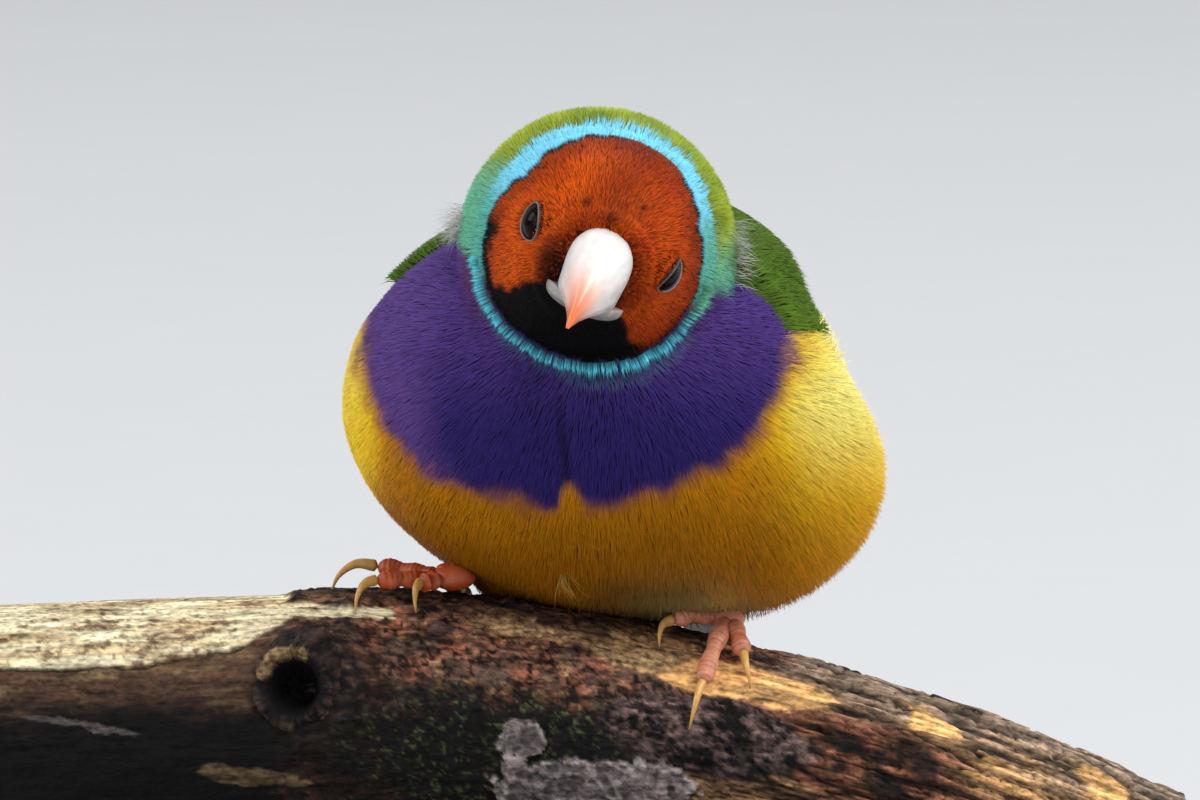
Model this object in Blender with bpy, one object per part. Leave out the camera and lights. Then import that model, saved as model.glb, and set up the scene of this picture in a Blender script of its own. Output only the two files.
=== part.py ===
"""Still, life-size model of a male Gouldian finch that grips a short cut branch on a plain display stand.

All sizes are real ones in millimetres, and build() turns them into metres. +Z is up, the bird faces -Y
with its left side towards +X, and the origin is the middle of the base's underside.
Flesh and feather are surfaces of a few named sizes, lofted from rings. Pieces that touch keep GAP apart.
"""

import math

import bmesh
import bpy
import numpy as np

METRES = 0.001
GAP = 0.3
CUT_GAP = 0.34

# Stand
BASE_LENGTH = 110.0
BASE_DEPTH = 86.0
BASE_THICKNESS = 6.0
BASE_CORNER = 14.0
BASE_BEVEL = 1.2
ROD_RADIUS = 2.0
ROD_PLACES = (-30.0, 25.0)
ROD_SINK = 4.0

# Perch: its top line and thickness along X, from the left cut end to the right one
PERCH_Y = -6.0
PERCH_TOP = 56.0
PERCH_ENDS = (-62.5, 60.5)
PERCH_TOP_X = (-64.0, -40.0, -12.0, 5.0, 26.0, 46.0, 61.0)
PERCH_TOP_DROP = (-0.7, -1.5, -1.0, 1.5, 6.4, 12.9, 19.4)
PERCH_RADIUS_X = (-64.0, -30.0, 0.0, 30.0, 61.0)
PERCH_RADIUS = (12.6, 13.2, 12.9, 12.2, 11.4)
PERCH_BOW = 1.5
PERCH_SIDES = 20
PERCH_STATIONS = 28
KNOT_X = -31.0
KNOT_ANGLE = 66.0
KNOT_SWELL = 1.7
KNOT_SPREAD = 6.0
KNOT_STUB_RADIUS = 3.7
KNOT_STUB_LENGTH = 3.4
BARK_UNEVEN = 0.25

# Body: an egg whose axis runs from the rump to the breast
VIEWER_ELEVATION = 6.0
BODY_CENTRE = (0.7, PERCH_Y + 4.0, PERCH_TOP + 20.7)
BODY_TURN_RIGHT = 11.0
BODY_PITCH = 20.0
BODY_LEAN_LEFT = 5.0
BREAST_REACH = 31.0
RUMP_REACH = 50.0
BODY_END = -38.0
BODY_WIDTH = 28.3
BACK_HEIGHT = 21.5
BELLY_DEPTH = 21.5
BODY_SWELLS = (
    # strength, spread, centre as (forward, left, up) in the body's unit ball
    (0.10, 0.45, (-0.10, 0.80, -0.60)),
    (-0.20, 0.32, (-0.10, 0.90, 0.60)),
    (-0.27, 0.42, (-0.10, -0.62, 0.62)),
)
BREAST_GROOVE = (1.3, 2.2)

# Neck: a ball of feathers behind the face
NECK_BEHIND_EYES = 12.0
NECK_TO_RIGHT = 0.4
NECK_RADIUS = 13.8
NECK_FRONT = 10.5
NECK_REAR = 17.0

# Head: stations from the bill backwards, measured from the point midway between the eyes
EYES_MIDDLE = (0.1, PERCH_Y - 28.0, PERCH_TOP + 40.4)
HEAD_LEAN_LEFT = 22.7
HEAD_PITCH = -21.0
HEAD_TURN_LEFT = 4.0
HEAD_AT = (6.3, 5.6, 4.2, 2.2, 0.0, -2.2, -4.5, -7.5, -10.5, -13.0)
HEAD_WIDTH = (0.0, 4.3, 6.3, 8.0, 9.5, 10.7, 11.6, 12.2, 10.8, 0.0)
HEAD_HEIGHT = (0.0, 4.6, 6.8, 8.8, 10.4, 11.7, 12.8, 13.5, 11.8, 0.0)
HEAD_CENTRE = (-1.0, -1.0, -1.2, -1.7, -2.3, -2.9, -3.6, -4.5, -5.0, -5.4)

# Eyes
EYE_RADIUS = 2.45
EYE_PLACE = (1.6, 5.85, 0.4)
EYE_FORWARD_AIM = 0.5
LID_RADIUS = 2.25
LID_THICKNESS = 0.5
LID_OUT = 1.75
SOCKET_MOUTH = 4.3
SOCKET_DEPTH = 3.6

# Bill: stations forward from the middle of its base
BILL_BASE_FORWARD = 5.5
BILL_BASE_DOWN = 1.0
BILL_TURN_RIGHT = 5.0
UPPER_AT = (-2.0, 0.0, 1.2, 3.0, 5.0, 7.0, 8.8, 10.0, 10.7)
UPPER_WIDTH = (3.9, 4.2, 4.3, 3.95, 3.1, 2.15, 1.25, 0.6, 0.2)
UPPER_TOP = (4.3, 4.7, 4.8, 4.45, 3.5, 2.1, 0.4, -1.1, -2.4)
MOUTH_LINE = (-3.1, -2.4, -2.1, -1.95, -1.9, -2.0, -2.25, -2.5, -2.75)
LOWER_AT = (-1.6, 0.0, 1.2, 3.0, 5.0, 7.0, 8.7)
LOWER_WIDTH = (3.9, 4.25, 4.1, 3.35, 2.4, 1.4, 0.45)
LOWER_BOTTOM = (-5.2, -5.2, -5.1, -4.75, -4.15, -3.4, -2.75)
UPPER_PINCH = 0.3
UPPER_ROUNDING = 0.68
LOWER_ROUNDING = 0.7

# Feet: paths on the branch as (x, degrees forward from its top, height over it)
TOE_RADIUS = 0.98
TOE_TIP_RADIUS = 0.8
CLAW_RADIUS = 0.55
CLAW_TIP_RADIUS = 0.2
TARSUS_RADIUS = 1.15
HUB_RADIUS = 1.6
HUBS = {"left": (13.2, 6.0, 2.6), "right": (-16.6, 4.0, 2.3)}
TOES = {
    "left": {
        "inner": ((12.9, 6.0, 2.4), (10.8, 9.0, 2.6), (8.9, 13.0, 2.5), (7.6, 17.0, 2.0)),
        "middle": ((13.0, 8.0, 2.4), (12.1, 24.0, 2.0), (11.2, 38.0, 1.6), (10.6, 49.0, 1.4)),
        "outer": ((13.4, 7.0, 2.4), (14.2, 19.0, 2.2), (14.7, 29.0, 1.6)),
        "hind": ((13.3, 0.0, 2.3), (13.5, -18.0, 1.6), (13.8, -36.0, 1.4)),
    },
    "right": {
        "inner": ((-16.6, 7.0, 2.2), (-17.6, 12.0, 2.3), (-18.5, 15.0, 2.4)),
        "middle": ((-16.7, 5.0, 2.2), (-19.0, 9.0, 2.2), (-21.5, 12.0, 2.4), (-23.0, 13.0, 2.3)),
        "outer": ((-16.8, 2.0, 2.3), (-19.2, -3.0, 2.4), (-21.4, -6.0, 2.7), (-23.0, -7.0, 2.8)),
        "hind": ((-16.3, -3.0, 2.1), (-14.9, -20.0, 1.5), (-13.9, -36.0, 1.4)),
    },
}
CLAWS = {
    "left": {
        "inner": ((7.5, 17.0, 2.2), (6.5, 21.0, 1.9), (6.1, 26.0, 1.1), (6.1, 29.0, 0.25)),
        "middle": ((10.5, 49.0, 1.6), (9.9, 58.0, 1.7), (9.4, 66.0, 1.1), (9.1, 71.0, 0.25)),
        "outer": ((14.7, 29.0, 1.8), (15.0, 36.0, 1.6), (15.3, 41.0, 0.9), (15.4, 44.0, 0.25)),
        "hind": ((13.8, -36.0, 1.6), (13.9, -46.0, 1.7), (14.0, -54.0, 1.1), (14.0, -60.0, 0.25)),
    },
    "right": {
        "inner": ((-18.5, 15.0, 2.5), (-18.9, 19.0, 2.3), (-19.0, 23.0, 1.3), (-18.9, 25.5, 0.25)),
        "middle": ((-23.0, 13.0, 2.4), (-24.2, 17.0, 2.4), (-25.0, 23.0, 1.4), (-25.1, 27.0, 0.25)),
        "outer": ((-23.0, -7.0, 2.9), (-25.2, -7.0, 3.1), (-27.0, -6.0, 1.9), (-27.8, -5.0, 0.25)),
        "hind": ((-13.9, -36.0, 1.6), (-13.6, -46.0, 1.7), (-13.4, -54.0, 1.1), (-13.3, -60.0, 0.25)),
    },
}
TARSUS_TOPS = {
    "left": (13.6, PERCH_Y + 3.5, PERCH_TOP + 6.0),
    "right": (-9.0, PERCH_Y + 3.5, PERCH_TOP + 6.5),
}
THIGH_SIZE = (6.0, 6.0, 5.4, 6.2)

# Wings: where the vanes lie on the body, as (distance along the axis, degrees from the back's ridge).
# The tuck moves them towards the ridge where puffed flank feathers cover the wing, and fades behind the body.
SIDES = {"left": 1, "right": -1}
WING_TUCK = {"left": 14.0, "right": 6.0}
TUCK_FADE = 60.0
WING_REACH = 64.0
WING_LIFT = 0.5
WING_CORE_THICKNESS = 0.9
WING_CORE_AT = (14.0, 8.0, 0.0, -10.0, -20.0, -30.0)
WING_CORE_LOW = (32.0, 22.0, 19.0, 20.0, 24.0, 34.0)
WING_CORE_HIGH = (58.0, 68.0, 71.0, 70.0, 68.0, 63.0)
VANE_THICKNESS = 0.6
VANE_ROOT_THICKNESS = 2.2
VANE_STEP = 0.26
VANE_UNDER_GAP = 0.35
VANE_QUILL_SHARE = 0.55
VANE_TIP_SHARE = 0.14
BACK_ROUNDNESS = 25.0
WING_TIERS = (
    # name, count, roots, tips, widths, first layer
    ("primary", 6, ((-8.0, 69.0), (-14.0, 56.0)), ((-38.0, 64.0), (-51.0, 34.0)), (5.0, 4.4), 0),
    ("secondary", 4, ((-6.0, 63.0), (-10.0, 42.0)), ((-29.0, 61.0), (-35.0, 30.0)), (7.0, 7.4), 2),
    ("tertial", 3, ((-6.0, 44.0), (-6.0, 27.0)), ((-33.0, 30.0), (-25.0, 17.0)), (8.0, 8.0), 3.6),
    ("greater_covert", 5, ((2.0, 66.0), (-1.0, 28.0)), ((-17.0, 65.0), (-18.0, 24.0)), (8.4, 8.8), 3.4),
    ("median_covert", 4, ((10.0, 60.0), (7.0, 32.0)), ((-6.0, 63.0), (-8.0, 27.0)), (9.4, 9.8), 5),
)

# Tail, in the body's frame turned down by TAIL_DROP about its root
TAIL_DROP = 5.0
TAIL_TURN_LEFT = 5.0
TAIL_ROOT_UP = 0.6
TAIL_CORE_LENGTH = 24.0
TAIL_CORE_END = (3.4, 1.3)
TAIL_LENGTHS = (61.0, 43.0, 40.0, 37.0, 34.0, 31.0)
TAIL_WIDTHS = (4.6, 6.4, 6.4, 6.2, 6.0, 5.6)
TAIL_FAN = (0.4, 3.2, 5.6, 8.0, 10.4, 12.6)
TAIL_ROOT_SIDE = (0.9, 1.6, 2.2, 2.8, 3.4, 3.9)
TAIL_START = 6.0
TAIL_CAMBER = 0.035
# Tail coverts: length, degrees turned out, width
COVERTS_ABOVE = ((17.0, -12.0, 6.5), (17.0, 12.0, 6.5), (22.0, -5.0, 6.5), (22.0, 5.0, 6.5), (26.0, 0.0, 6.0))
COVERTS_BELOW = ((20.0, -9.0, 6.5), (20.0, 9.0, 6.5), (28.0, 0.0, 7.0))

COLOURS = {
    "face_red": ((0.62, 0.13, 0.02), 0.75, 0.0),
    "nape_green": ((0.33, 0.45, 0.06), 0.75, 0.0),
    "breast_purple": ((0.10, 0.03, 0.28), 0.75, 0.0),
    "wing_green": ((0.10, 0.22, 0.03), 0.7, 0.0),
    "tail_black": ((0.03, 0.03, 0.035), 0.6, 0.0),
    "bill_white": ((0.85, 0.78, 0.75), 0.3, 0.0),
    "eye_brown": ((0.02, 0.012, 0.01), 0.05, 0.0),
    "leg_pink": ((0.75, 0.35, 0.26), 0.5, 0.0),
    "thigh_white": ((0.75, 0.66, 0.45), 0.8, 0.0),
    "claw_horn": ((0.62, 0.5, 0.3), 0.35, 0.0),
    "bark": ((0.2, 0.13, 0.09), 0.85, 0.0),
    "base_wood": ((0.16, 0.09, 0.05), 0.4, 0.0),
    "rod_steel": ((0.6, 0.58, 0.55), 0.3, 1.0),
}


def material(name):
    """The Principled material of that name, made once."""
    found = bpy.data.materials.get(name)
    if found:
        return found
    colour, roughness, metallic = COLOURS[name]
    made = bpy.data.materials.new(name)
    made.use_nodes = True
    shader = made.node_tree.nodes["Principled BSDF"]
    shader.inputs["Base Color"].default_value = (*colour, 1.0)
    shader.inputs["Roughness"].default_value = roughness
    shader.inputs["Metallic"].default_value = metallic
    return made


def smooth(x, knots, values):
    """A smooth curve through the values at the knots: cubic pieces that share a slope at each knot."""
    order = np.argsort(knots)
    knots = np.asarray(knots, float)[order]
    values = np.asarray(values, float)[order]
    slopes = np.gradient(values, knots)
    x = np.clip(np.asarray(x, float), knots[0], knots[-1])
    i = np.clip(np.searchsorted(knots, x) - 1, 0, len(knots) - 2)
    width = knots[i + 1] - knots[i]
    s = (x - knots[i]) / width
    return (
        values[i] * (1 + 2 * s) * (1 - s) ** 2
        + values[i + 1] * s**2 * (3 - 2 * s)
        + width * (slopes[i] * s * (1 - s) ** 2 + slopes[i + 1] * s**2 * (s - 1))
    )


def turned(frame, turn_left=0.0, pitch_up=0.0, lean_left=0.0):
    """The frame's rows (forward, left, up) after a lean to the left, a nod up and a turn to the left."""
    forward, left, up = (np.array(row, float) for row in frame)
    a = math.radians(lean_left)
    left, up = math.cos(a) * left - math.sin(a) * up, math.cos(a) * up + math.sin(a) * left
    a = math.radians(pitch_up)
    forward, up = math.cos(a) * forward + math.sin(a) * up, math.cos(a) * up - math.sin(a) * forward
    a = math.radians(turn_left)
    forward, left = math.cos(a) * forward + math.sin(a) * left, math.cos(a) * left - math.sin(a) * forward
    return np.array((forward, left, up))


LEVEL = np.array(((0.0, -1.0, 0.0), (1.0, 0.0, 0.0), (0.0, 0.0, 1.0)))
TO_VIEWER = turned(LEVEL, pitch_up=VIEWER_ELEVATION)
BODY = turned(turned(LEVEL, turn_left=-BODY_TURN_RIGHT), pitch_up=BODY_PITCH)
BODY = turned(BODY, lean_left=BODY_LEAN_LEFT)
HEAD = turned(TO_VIEWER, HEAD_TURN_LEFT, HEAD_PITCH, HEAD_LEAN_LEFT)
BODY_CENTRE = np.array(BODY_CENTRE)
EYES_MIDDLE = np.array(EYES_MIDDLE)
NECK_CENTRE = EYES_MIDDLE + (-NECK_BEHIND_EYES, -NECK_TO_RIGHT, 0.0) @ TO_VIEWER
BILL_BASE = EYES_MIDDLE + (BILL_BASE_FORWARD, 0.0, -BILL_BASE_DOWN) @ HEAD
BILL = turned(HEAD, turn_left=-BILL_TURN_RIGHT)


def build(name, rings, paint, caps=("point", "point")):
    """A closed mesh from rings of points in millimetres, each end closed to a "point" or by a "flat" cap."""
    bm = bmesh.new()
    made = []
    for k, ring in enumerate(rings):
        end = 0 if k == 0 else 1 if k == len(rings) - 1 else None
        points = [ring[0]] if end is not None and caps[end] == "point" else ring
        made.append([bm.verts.new(np.asarray(p, float) * METRES) for p in points])
    for low, high in zip(made, made[1:]):
        n = max(len(low), len(high))
        for i in range(n):
            j = (i + 1) % n
            corners = [low[i % len(low)], low[j % len(low)], high[j % len(high)], high[i % len(high)]]
            bm.faces.new(list(dict.fromkeys(corners)))
    for cap, ring in zip(caps, (made[0], made[-1])):
        if cap == "flat":
            middle = bm.verts.new(sum((v.co for v in ring), ring[0].co * 0) / len(ring))
            for i, corner in enumerate(ring):
                bm.faces.new((corner, ring[(i + 1) % len(ring)], middle))
    bmesh.ops.recalc_face_normals(bm, faces=bm.faces)
    bmesh.ops.triangulate(bm, faces=bm.faces)
    mesh = bpy.data.meshes.new(name)
    bm.to_mesh(mesh)
    bm.free()
    mesh.materials.append(material(paint))
    mesh.shade_smooth()
    mesh.set_sharp_from_angle(angle=math.radians(40))
    obj = bpy.data.objects.new(name, mesh)
    bpy.context.scene.collection.objects.link(obj)
    return obj


def twin(obj):
    """A copy with a mesh of its own."""
    copy = obj.copy()
    copy.data = obj.data.copy()
    bpy.context.scene.collection.objects.link(copy)
    return copy


def grown(obj, by=CUT_GAP):
    """A copy whose surface stands off by that distance, to cut a neighbour with."""
    copy = twin(obj)
    bm = bmesh.new()
    bm.from_mesh(copy.data)
    bm.normal_update()
    moves = [v.normal * by * METRES for v in bm.verts]
    for vertex, move in zip(bm.verts, moves):
        vertex.co += move
    bm.to_mesh(copy.data)
    bm.free()
    return copy


def settle(obj):
    """Applies the modifiers, and keeps the largest closed surface."""
    graph = bpy.context.evaluated_depsgraph_get()
    mesh = bpy.data.meshes.new_from_object(obj.evaluated_get(graph))
    obj.modifiers.clear()
    obj.data = mesh
    bm = bmesh.new()
    bm.from_mesh(mesh)
    unseen = set(bm.verts)
    shells = []
    while unseen:
        stack = [unseen.pop()]
        shell = set(stack)
        while stack:
            for edge in stack.pop().link_edges:
                for vertex in edge.verts:
                    if vertex in unseen:
                        unseen.discard(vertex)
                        shell.add(vertex)
                        stack.append(vertex)
        shells.append(shell)
    largest = max(shells, key=len)
    loose = [v for v in bm.verts if v not in largest]
    bmesh.ops.delete(bm, geom=loose, context="VERTS")
    bmesh.ops.triangulate(bm, faces=bm.faces)
    bm.to_mesh(mesh)
    bm.free()
    return obj


def combine(obj, others, operation):
    """One Boolean of obj with all the others, which are then removed."""
    group = bpy.data.collections.new("combining")
    bpy.context.scene.collection.children.link(group)
    for other in others:
        group.objects.link(other)
    modifier = obj.modifiers.new("combine", "BOOLEAN")
    modifier.operation = operation
    modifier.solver = "EXACT"
    modifier.operand_type = "COLLECTION"
    modifier.collection = group
    settle(obj)
    for other in others:
        bpy.data.objects.remove(other)
    bpy.data.collections.remove(group)
    return obj


def fuse(obj, others):
    return combine(obj, others, "UNION")


def cut(obj, others):
    return combine(obj, others, "DIFFERENCE")


def ellipse_ring(count):
    """Angles once round a ring."""
    return np.arange(count) * 2 * math.pi / count


def tube(name, path, radii, paint, sides=8, stations=10, extra=0.0, rounded=False):
    """A tapered tube on a smooth curve through the path's points, with flat or blunt rounded ends."""
    path = np.asarray(path, float)
    for end, inner in ((0, 1), (-1, -2)):
        outward = path[end] - path[inner]
        path[end] = path[end] + extra * outward / np.linalg.norm(outward)
    steps = np.concatenate([[0], np.cumsum(np.linalg.norm(np.diff(path, axis=0), axis=1))])
    at = np.linspace(0, steps[-1], stations)
    line = np.stack([smooth(at, steps, path[:, k]) for k in range(3)], axis=1)
    thick = np.interp(at / steps[-1], np.linspace(0, 1, len(radii)), radii)
    along = np.gradient(line, axis=0)
    along /= np.linalg.norm(along, axis=1)[:, None]
    side = np.cross(along[0], (0.0, 0.0, 1.0))
    if np.linalg.norm(side) < 0.1:
        side = np.cross(along[0], (0.0, 1.0, 0.0))
    thick = thick + extra
    if rounded:
        ends = (line[0] - 0.55 * thick[0] * along[0], line[-1] + 0.55 * thick[-1] * along[-1])
        line = np.vstack([ends[0], line, ends[1]])
        along = np.vstack([along[0], along, along[-1]])
        thick = np.concatenate([[thick[0] * 0.62], thick, [thick[-1] * 0.62]])
    angles = ellipse_ring(sides)
    rings = []
    for p, d, r in zip(line, along, thick):
        side = side - (side @ d) * d
        side /= np.linalg.norm(side)
        over = np.cross(d, side)
        rings.append(p + r * (np.cos(angles)[:, None] * side + np.sin(angles)[:, None] * over))
    return build(name, rings, paint, ("flat", "flat"))


def swelling(forward, left, up):
    """How much wider than an egg the body is in a direction of its unit ball."""
    swell = 1.0
    for strength, spread, (f, l, u) in BODY_SWELLS:
        distance = (forward - f) ** 2 + (left - l) ** 2 + (up - u) ** 2
        swell = swell + strength * np.exp(-distance / (2 * spread**2))
    return swell


def body_point(t, phi, reach=RUMP_REACH, lift=0.0):
    """Points on the fluffed body at t along its axis and phi round it from the ridge, lifted outwards."""
    t, phi = np.broadcast_arrays(np.asarray(t, float), np.asarray(phi, float))
    ahead = t > 0
    share = np.where(ahead, t / BREAST_REACH, t / reach)
    fullness = np.where(ahead, np.sqrt(np.clip(1 - share**2, 0, 1)), 1 - share**2)
    slope = np.where(ahead, -share / BREAST_REACH / np.maximum(fullness, 0.05), -2 * share / reach)
    height = np.where(np.cos(phi) > 0, BACK_HEIGHT, BELLY_DEPTH)
    side, up = np.sin(phi) * fullness, np.cos(phi) * fullness
    swell = swelling(t / BREAST_REACH, side, up)
    local = np.stack([t, BODY_WIDTH * side * swell, height * up * swell], axis=-1)
    depth, narrow = BREAST_GROOVE
    groove = depth * np.exp(-((local[..., 1] / narrow) ** 2)) * np.clip(t / BREAST_REACH, 0, 1) * (up < 0.7)
    local[..., 0] -= groove
    fuller = np.maximum(fullness, 0.05)
    normal = np.stack(
        [-slope / fuller, np.sin(phi) / (BODY_WIDTH * fuller), np.cos(phi) / (height * fuller)], axis=-1
    )
    normal /= np.linalg.norm(normal, axis=-1)[..., None]
    return BODY_CENTRE + (local + np.asarray(lift)[..., None] * normal) @ BODY


def make_torso():
    """The body from the breast's tip to the flat cut at the rump, where the tail takes over."""
    phi = ellipse_ring(34)
    ahead = BREAST_REACH * np.cos(np.linspace(0, math.pi / 2, 10))
    behind = np.linspace(0, BODY_END, 10)[1:]
    rings = [body_point(t, phi) for t in (*ahead, *behind)]
    return build("torso", rings, "breast_purple", ("point", "flat"))


def ball(name, centre, frame, sizes, paint, rings=14, sides=24):
    """A ball with its own reach forward, back, sideways and upwards."""
    front, back, side, up = sizes
    angles = ellipse_ring(sides)
    made = []
    for theta in np.linspace(0, math.pi, rings):
        reach = front if theta < math.pi / 2 else back
        local = np.stack(
            [
                np.full(sides, reach * math.cos(theta)),
                side * math.sin(theta) * np.cos(angles),
                up * math.sin(theta) * np.sin(angles),
            ],
            axis=1,
        )
        made.append(np.asarray(centre) + local @ frame)
    return build(name, made, paint)


def make_neck():
    sizes = (NECK_FRONT, NECK_REAR, NECK_RADIUS, NECK_RADIUS)
    return ball("neck", NECK_CENTRE, TO_VIEWER, sizes, "nape_green", rings=13, sides=24)


def make_head():
    """The face and skull, lofted from the bill's base backwards, closed by a round back inside the neck."""
    phi = ellipse_ring(28)
    at = (6.3, 6.0, 5.2, 4.2, 3.2, 2.2, 1.1, 0.0, -1.4, -3.0, -5.0, -7.5, -9.5, -11.5, -12.6, -13.0)
    rings = []
    for f in at:
        width = smooth(f, HEAD_AT, HEAD_WIDTH)
        height, centre = smooth(f, HEAD_AT, HEAD_HEIGHT), smooth(f, HEAD_AT, HEAD_CENTRE)
        local = np.stack([np.full(len(phi), f), width * np.sin(phi), centre + height * np.cos(phi)], axis=1)
        rings.append(EYES_MIDDLE + local @ HEAD)
    return build("head", rings, "face_red")


def eye_frame(side):
    """The eye's centre, and its frame looking out sideways and a little forward."""
    out = np.array((EYE_FORWARD_AIM, side, 0.05))
    out /= np.linalg.norm(out)
    up = np.array((0.0, 0.0, 1.0)) - out[2] * out
    up /= np.linalg.norm(up)
    across = np.cross(up, out)
    forward, beside, above = EYE_PLACE
    centre = EYES_MIDDLE + np.array((forward, side * beside, above)) @ HEAD
    return centre, np.array((out, across, up)) @ HEAD


def disc_ring(centre, frame, out, radius, count):
    angles = ellipse_ring(count)
    local = np.stack([np.full(count, out), radius * np.cos(angles), radius * np.sin(angles)], axis=1)
    return centre + local @ frame


def lid_ring(side):
    """The eyelids' rim: a ring round the eye, swept through a small circle."""
    centre, frame = eye_frame(side)
    across = ellipse_ring(6)
    bm_rings = []
    for a in ellipse_ring(18):
        radius = LID_RADIUS + LID_THICKNESS * np.cos(across)
        local = np.stack(
            [LID_OUT + LID_THICKNESS * np.sin(across), radius * math.cos(a), radius * math.sin(a)], axis=1
        )
        bm_rings.append(centre + local @ frame)
    return hoop("lid", bm_rings, "face_red")


def hoop(name, rings, paint):
    """A closed hoop: rings joined one to the next and the last to the first."""
    bm = bmesh.new()
    made = [[bm.verts.new(np.asarray(p) * METRES) for p in ring] for ring in rings]
    for k, low in enumerate(made):
        high = made[(k + 1) % len(made)]
        for i in range(len(low)):
            j = (i + 1) % len(low)
            bm.faces.new((low[i], low[j], high[j], high[i]))
    bmesh.ops.recalc_face_normals(bm, faces=bm.faces)
    bmesh.ops.triangulate(bm, faces=bm.faces)
    mesh = bpy.data.meshes.new(name)
    bm.to_mesh(mesh)
    bm.free()
    mesh.materials.append(material(paint))
    obj = bpy.data.objects.new(name, mesh)
    bpy.context.scene.collection.objects.link(obj)
    return obj


def socket_cutter(side):
    """A flared bowl that opens the feathers round the eye."""
    centre, frame = eye_frame(side)
    stations = ((0.9, 2.2), (1.9, 2.5), (3.0, 3.2), (SOCKET_DEPTH + 0.6, SOCKET_MOUTH), (7.0, 5.6))
    rings = [disc_ring(centre, frame, out, radius, 16) for out, radius in stations]
    return build("socket", rings, "face_red", ("flat", "flat"))


def make_eye(name, side, extra=0.0):
    centre, frame = eye_frame(side)
    r = EYE_RADIUS + extra
    return ball(name, centre, frame, (r, r, r, r), "eye_brown", rings=10, sides=16)


def bill_half(name, at, widths, edges, mouth, rounding, pinch=0.0, sides=12):
    """Half a bill: an arch from one cutting edge to the other, pinched at the flat face that closes it."""
    arch = np.linspace(0, math.pi, sides)
    rings = []
    for s in np.linspace(at[0], at[-1], 12):
        width = smooth(s, at, widths)
        edge = smooth(s, at, edges)
        level = smooth(s, UPPER_AT, MOUTH_LINE) + mouth
        side = width * np.cos(arch) * (1 - pinch * (1 - np.sin(arch)))
        rise = (edge - level) * np.sin(arch) ** rounding
        local = np.stack([np.full(sides, s), side, level + rise], axis=1)
        floor = np.array([(s, x, level) for x in (-width / 2, 0.0, width / 2)])
        rings.append(BILL_BASE + np.vstack([local, floor]) @ BILL)
    return build(name, rings, "bill_white", ("flat", "flat"))


def make_bill():
    upper = bill_half("bill_upper", UPPER_AT, UPPER_WIDTH, UPPER_TOP, GAP / 2, UPPER_ROUNDING, UPPER_PINCH)
    lower = bill_half("bill_lower", LOWER_AT, LOWER_WIDTH, LOWER_BOTTOM, -GAP / 2, LOWER_ROUNDING)
    return upper, lower


def perch_middle(x):
    """The branch's centre line and radius at x."""
    radius = smooth(x, PERCH_RADIUS_X, PERCH_RADIUS)
    top = PERCH_TOP - smooth(x, PERCH_TOP_X, PERCH_TOP_DROP)
    y = PERCH_Y + PERCH_BOW * np.cos(np.asarray(x, float) / 30.0) - PERCH_BOW
    return y, top - radius, radius


def on_perch(place):
    """The point at (x, degrees forward from the top, height over the bark)."""
    x, angle, lift = place
    y, z, radius = perch_middle(x)
    a = math.radians(angle)
    return np.array((x, y - (radius + lift) * math.sin(a), z + (radius + lift) * math.cos(a)))


def perch_ring(x, extra=0.0):
    """A ring of bark, swollen round the knot and a little uneven."""
    y, z, radius = perch_middle(x)
    phi = ellipse_ring(PERCH_SIDES)
    off = np.angle(np.exp(1j * (phi - math.radians(KNOT_ANGLE)))) * radius
    swell = KNOT_SWELL * np.exp(-((x - KNOT_X) ** 2 + off**2) / (2 * KNOT_SPREAD**2))
    underside = np.abs(phi - math.pi) < 2.2
    r = radius + swell - BARK_UNEVEN * np.abs(np.sin(3 * phi + x / 9.0)) * underside + extra
    return np.stack([np.full(PERCH_SIDES, x), y - r * np.sin(phi), z + r * np.cos(phi)], axis=1)


def make_perch():
    places = np.linspace(*PERCH_ENDS, PERCH_STATIONS)
    perch = build("perch", [perch_ring(x) for x in places], "bark", ("flat", "flat"))
    foot = on_perch((KNOT_X, KNOT_ANGLE, -3.0))
    end = on_perch((KNOT_X - 0.6, KNOT_ANGLE + 3.0, KNOT_STUB_LENGTH))
    radii = (KNOT_STUB_RADIUS * 1.15, KNOT_STUB_RADIUS, KNOT_STUB_RADIUS * 0.9)
    stub = tube("stub", (foot, (foot + end) / 2, end), radii, "bark", sides=12, stations=4)
    return fuse(perch, [stub])


def make_foot(side, extra=0.0):
    """The pad where the toes meet, and the four toes round the branch."""
    r = HUB_RADIUS + extra
    sizes = (r, r, r, r * 0.85)
    foot = ball(f"foot_{side}", on_perch(HUBS[side]), LEVEL, sizes, "leg_pink", rings=7, sides=12)
    joints = np.array((1.0, 0.92, 1.0, 0.86, 0.95, TOE_TIP_RADIUS / TOE_RADIUS))
    toes = []
    for name, places in TOES[side].items():
        path = [on_perch(p) for p in places]
        toes.append(tube(name, path, TOE_RADIUS * joints, "leg_pink", stations=9, extra=extra, rounded=True))
    return fuse(foot, toes)


def make_claws(side):
    made = []
    radii = (CLAW_RADIUS, CLAW_RADIUS * 0.95, CLAW_RADIUS * 0.75, CLAW_RADIUS * 0.5, CLAW_TIP_RADIUS)
    for name, places in CLAWS[side].items():
        path = [on_perch(p) for p in places]
        made.append(tube(f"claw_{side}_{name}", path, radii, "claw_horn", sides=6, stations=7))
    return made


def make_leg(side, extra=0.0):
    """The bare shank and the feathered thigh above it."""
    x, angle, lift = HUBS[side]
    foot = on_perch((x, angle, lift + 0.2))
    top = np.array(TARSUS_TOPS[side])
    radii = (TARSUS_RADIUS, TARSUS_RADIUS * 0.95, TARSUS_RADIUS * 1.1)
    shank = tube("shank", (foot, (foot + top) / 2, top), radii, "leg_pink", sides=10, stations=6, extra=extra)
    sizes = [size + extra for size in THIGH_SIZE]
    thigh = ball(f"leg_{side}", top, BODY, sizes, "thigh_white", rings=12, sides=18)
    return fuse(thigh, [shank])


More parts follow.
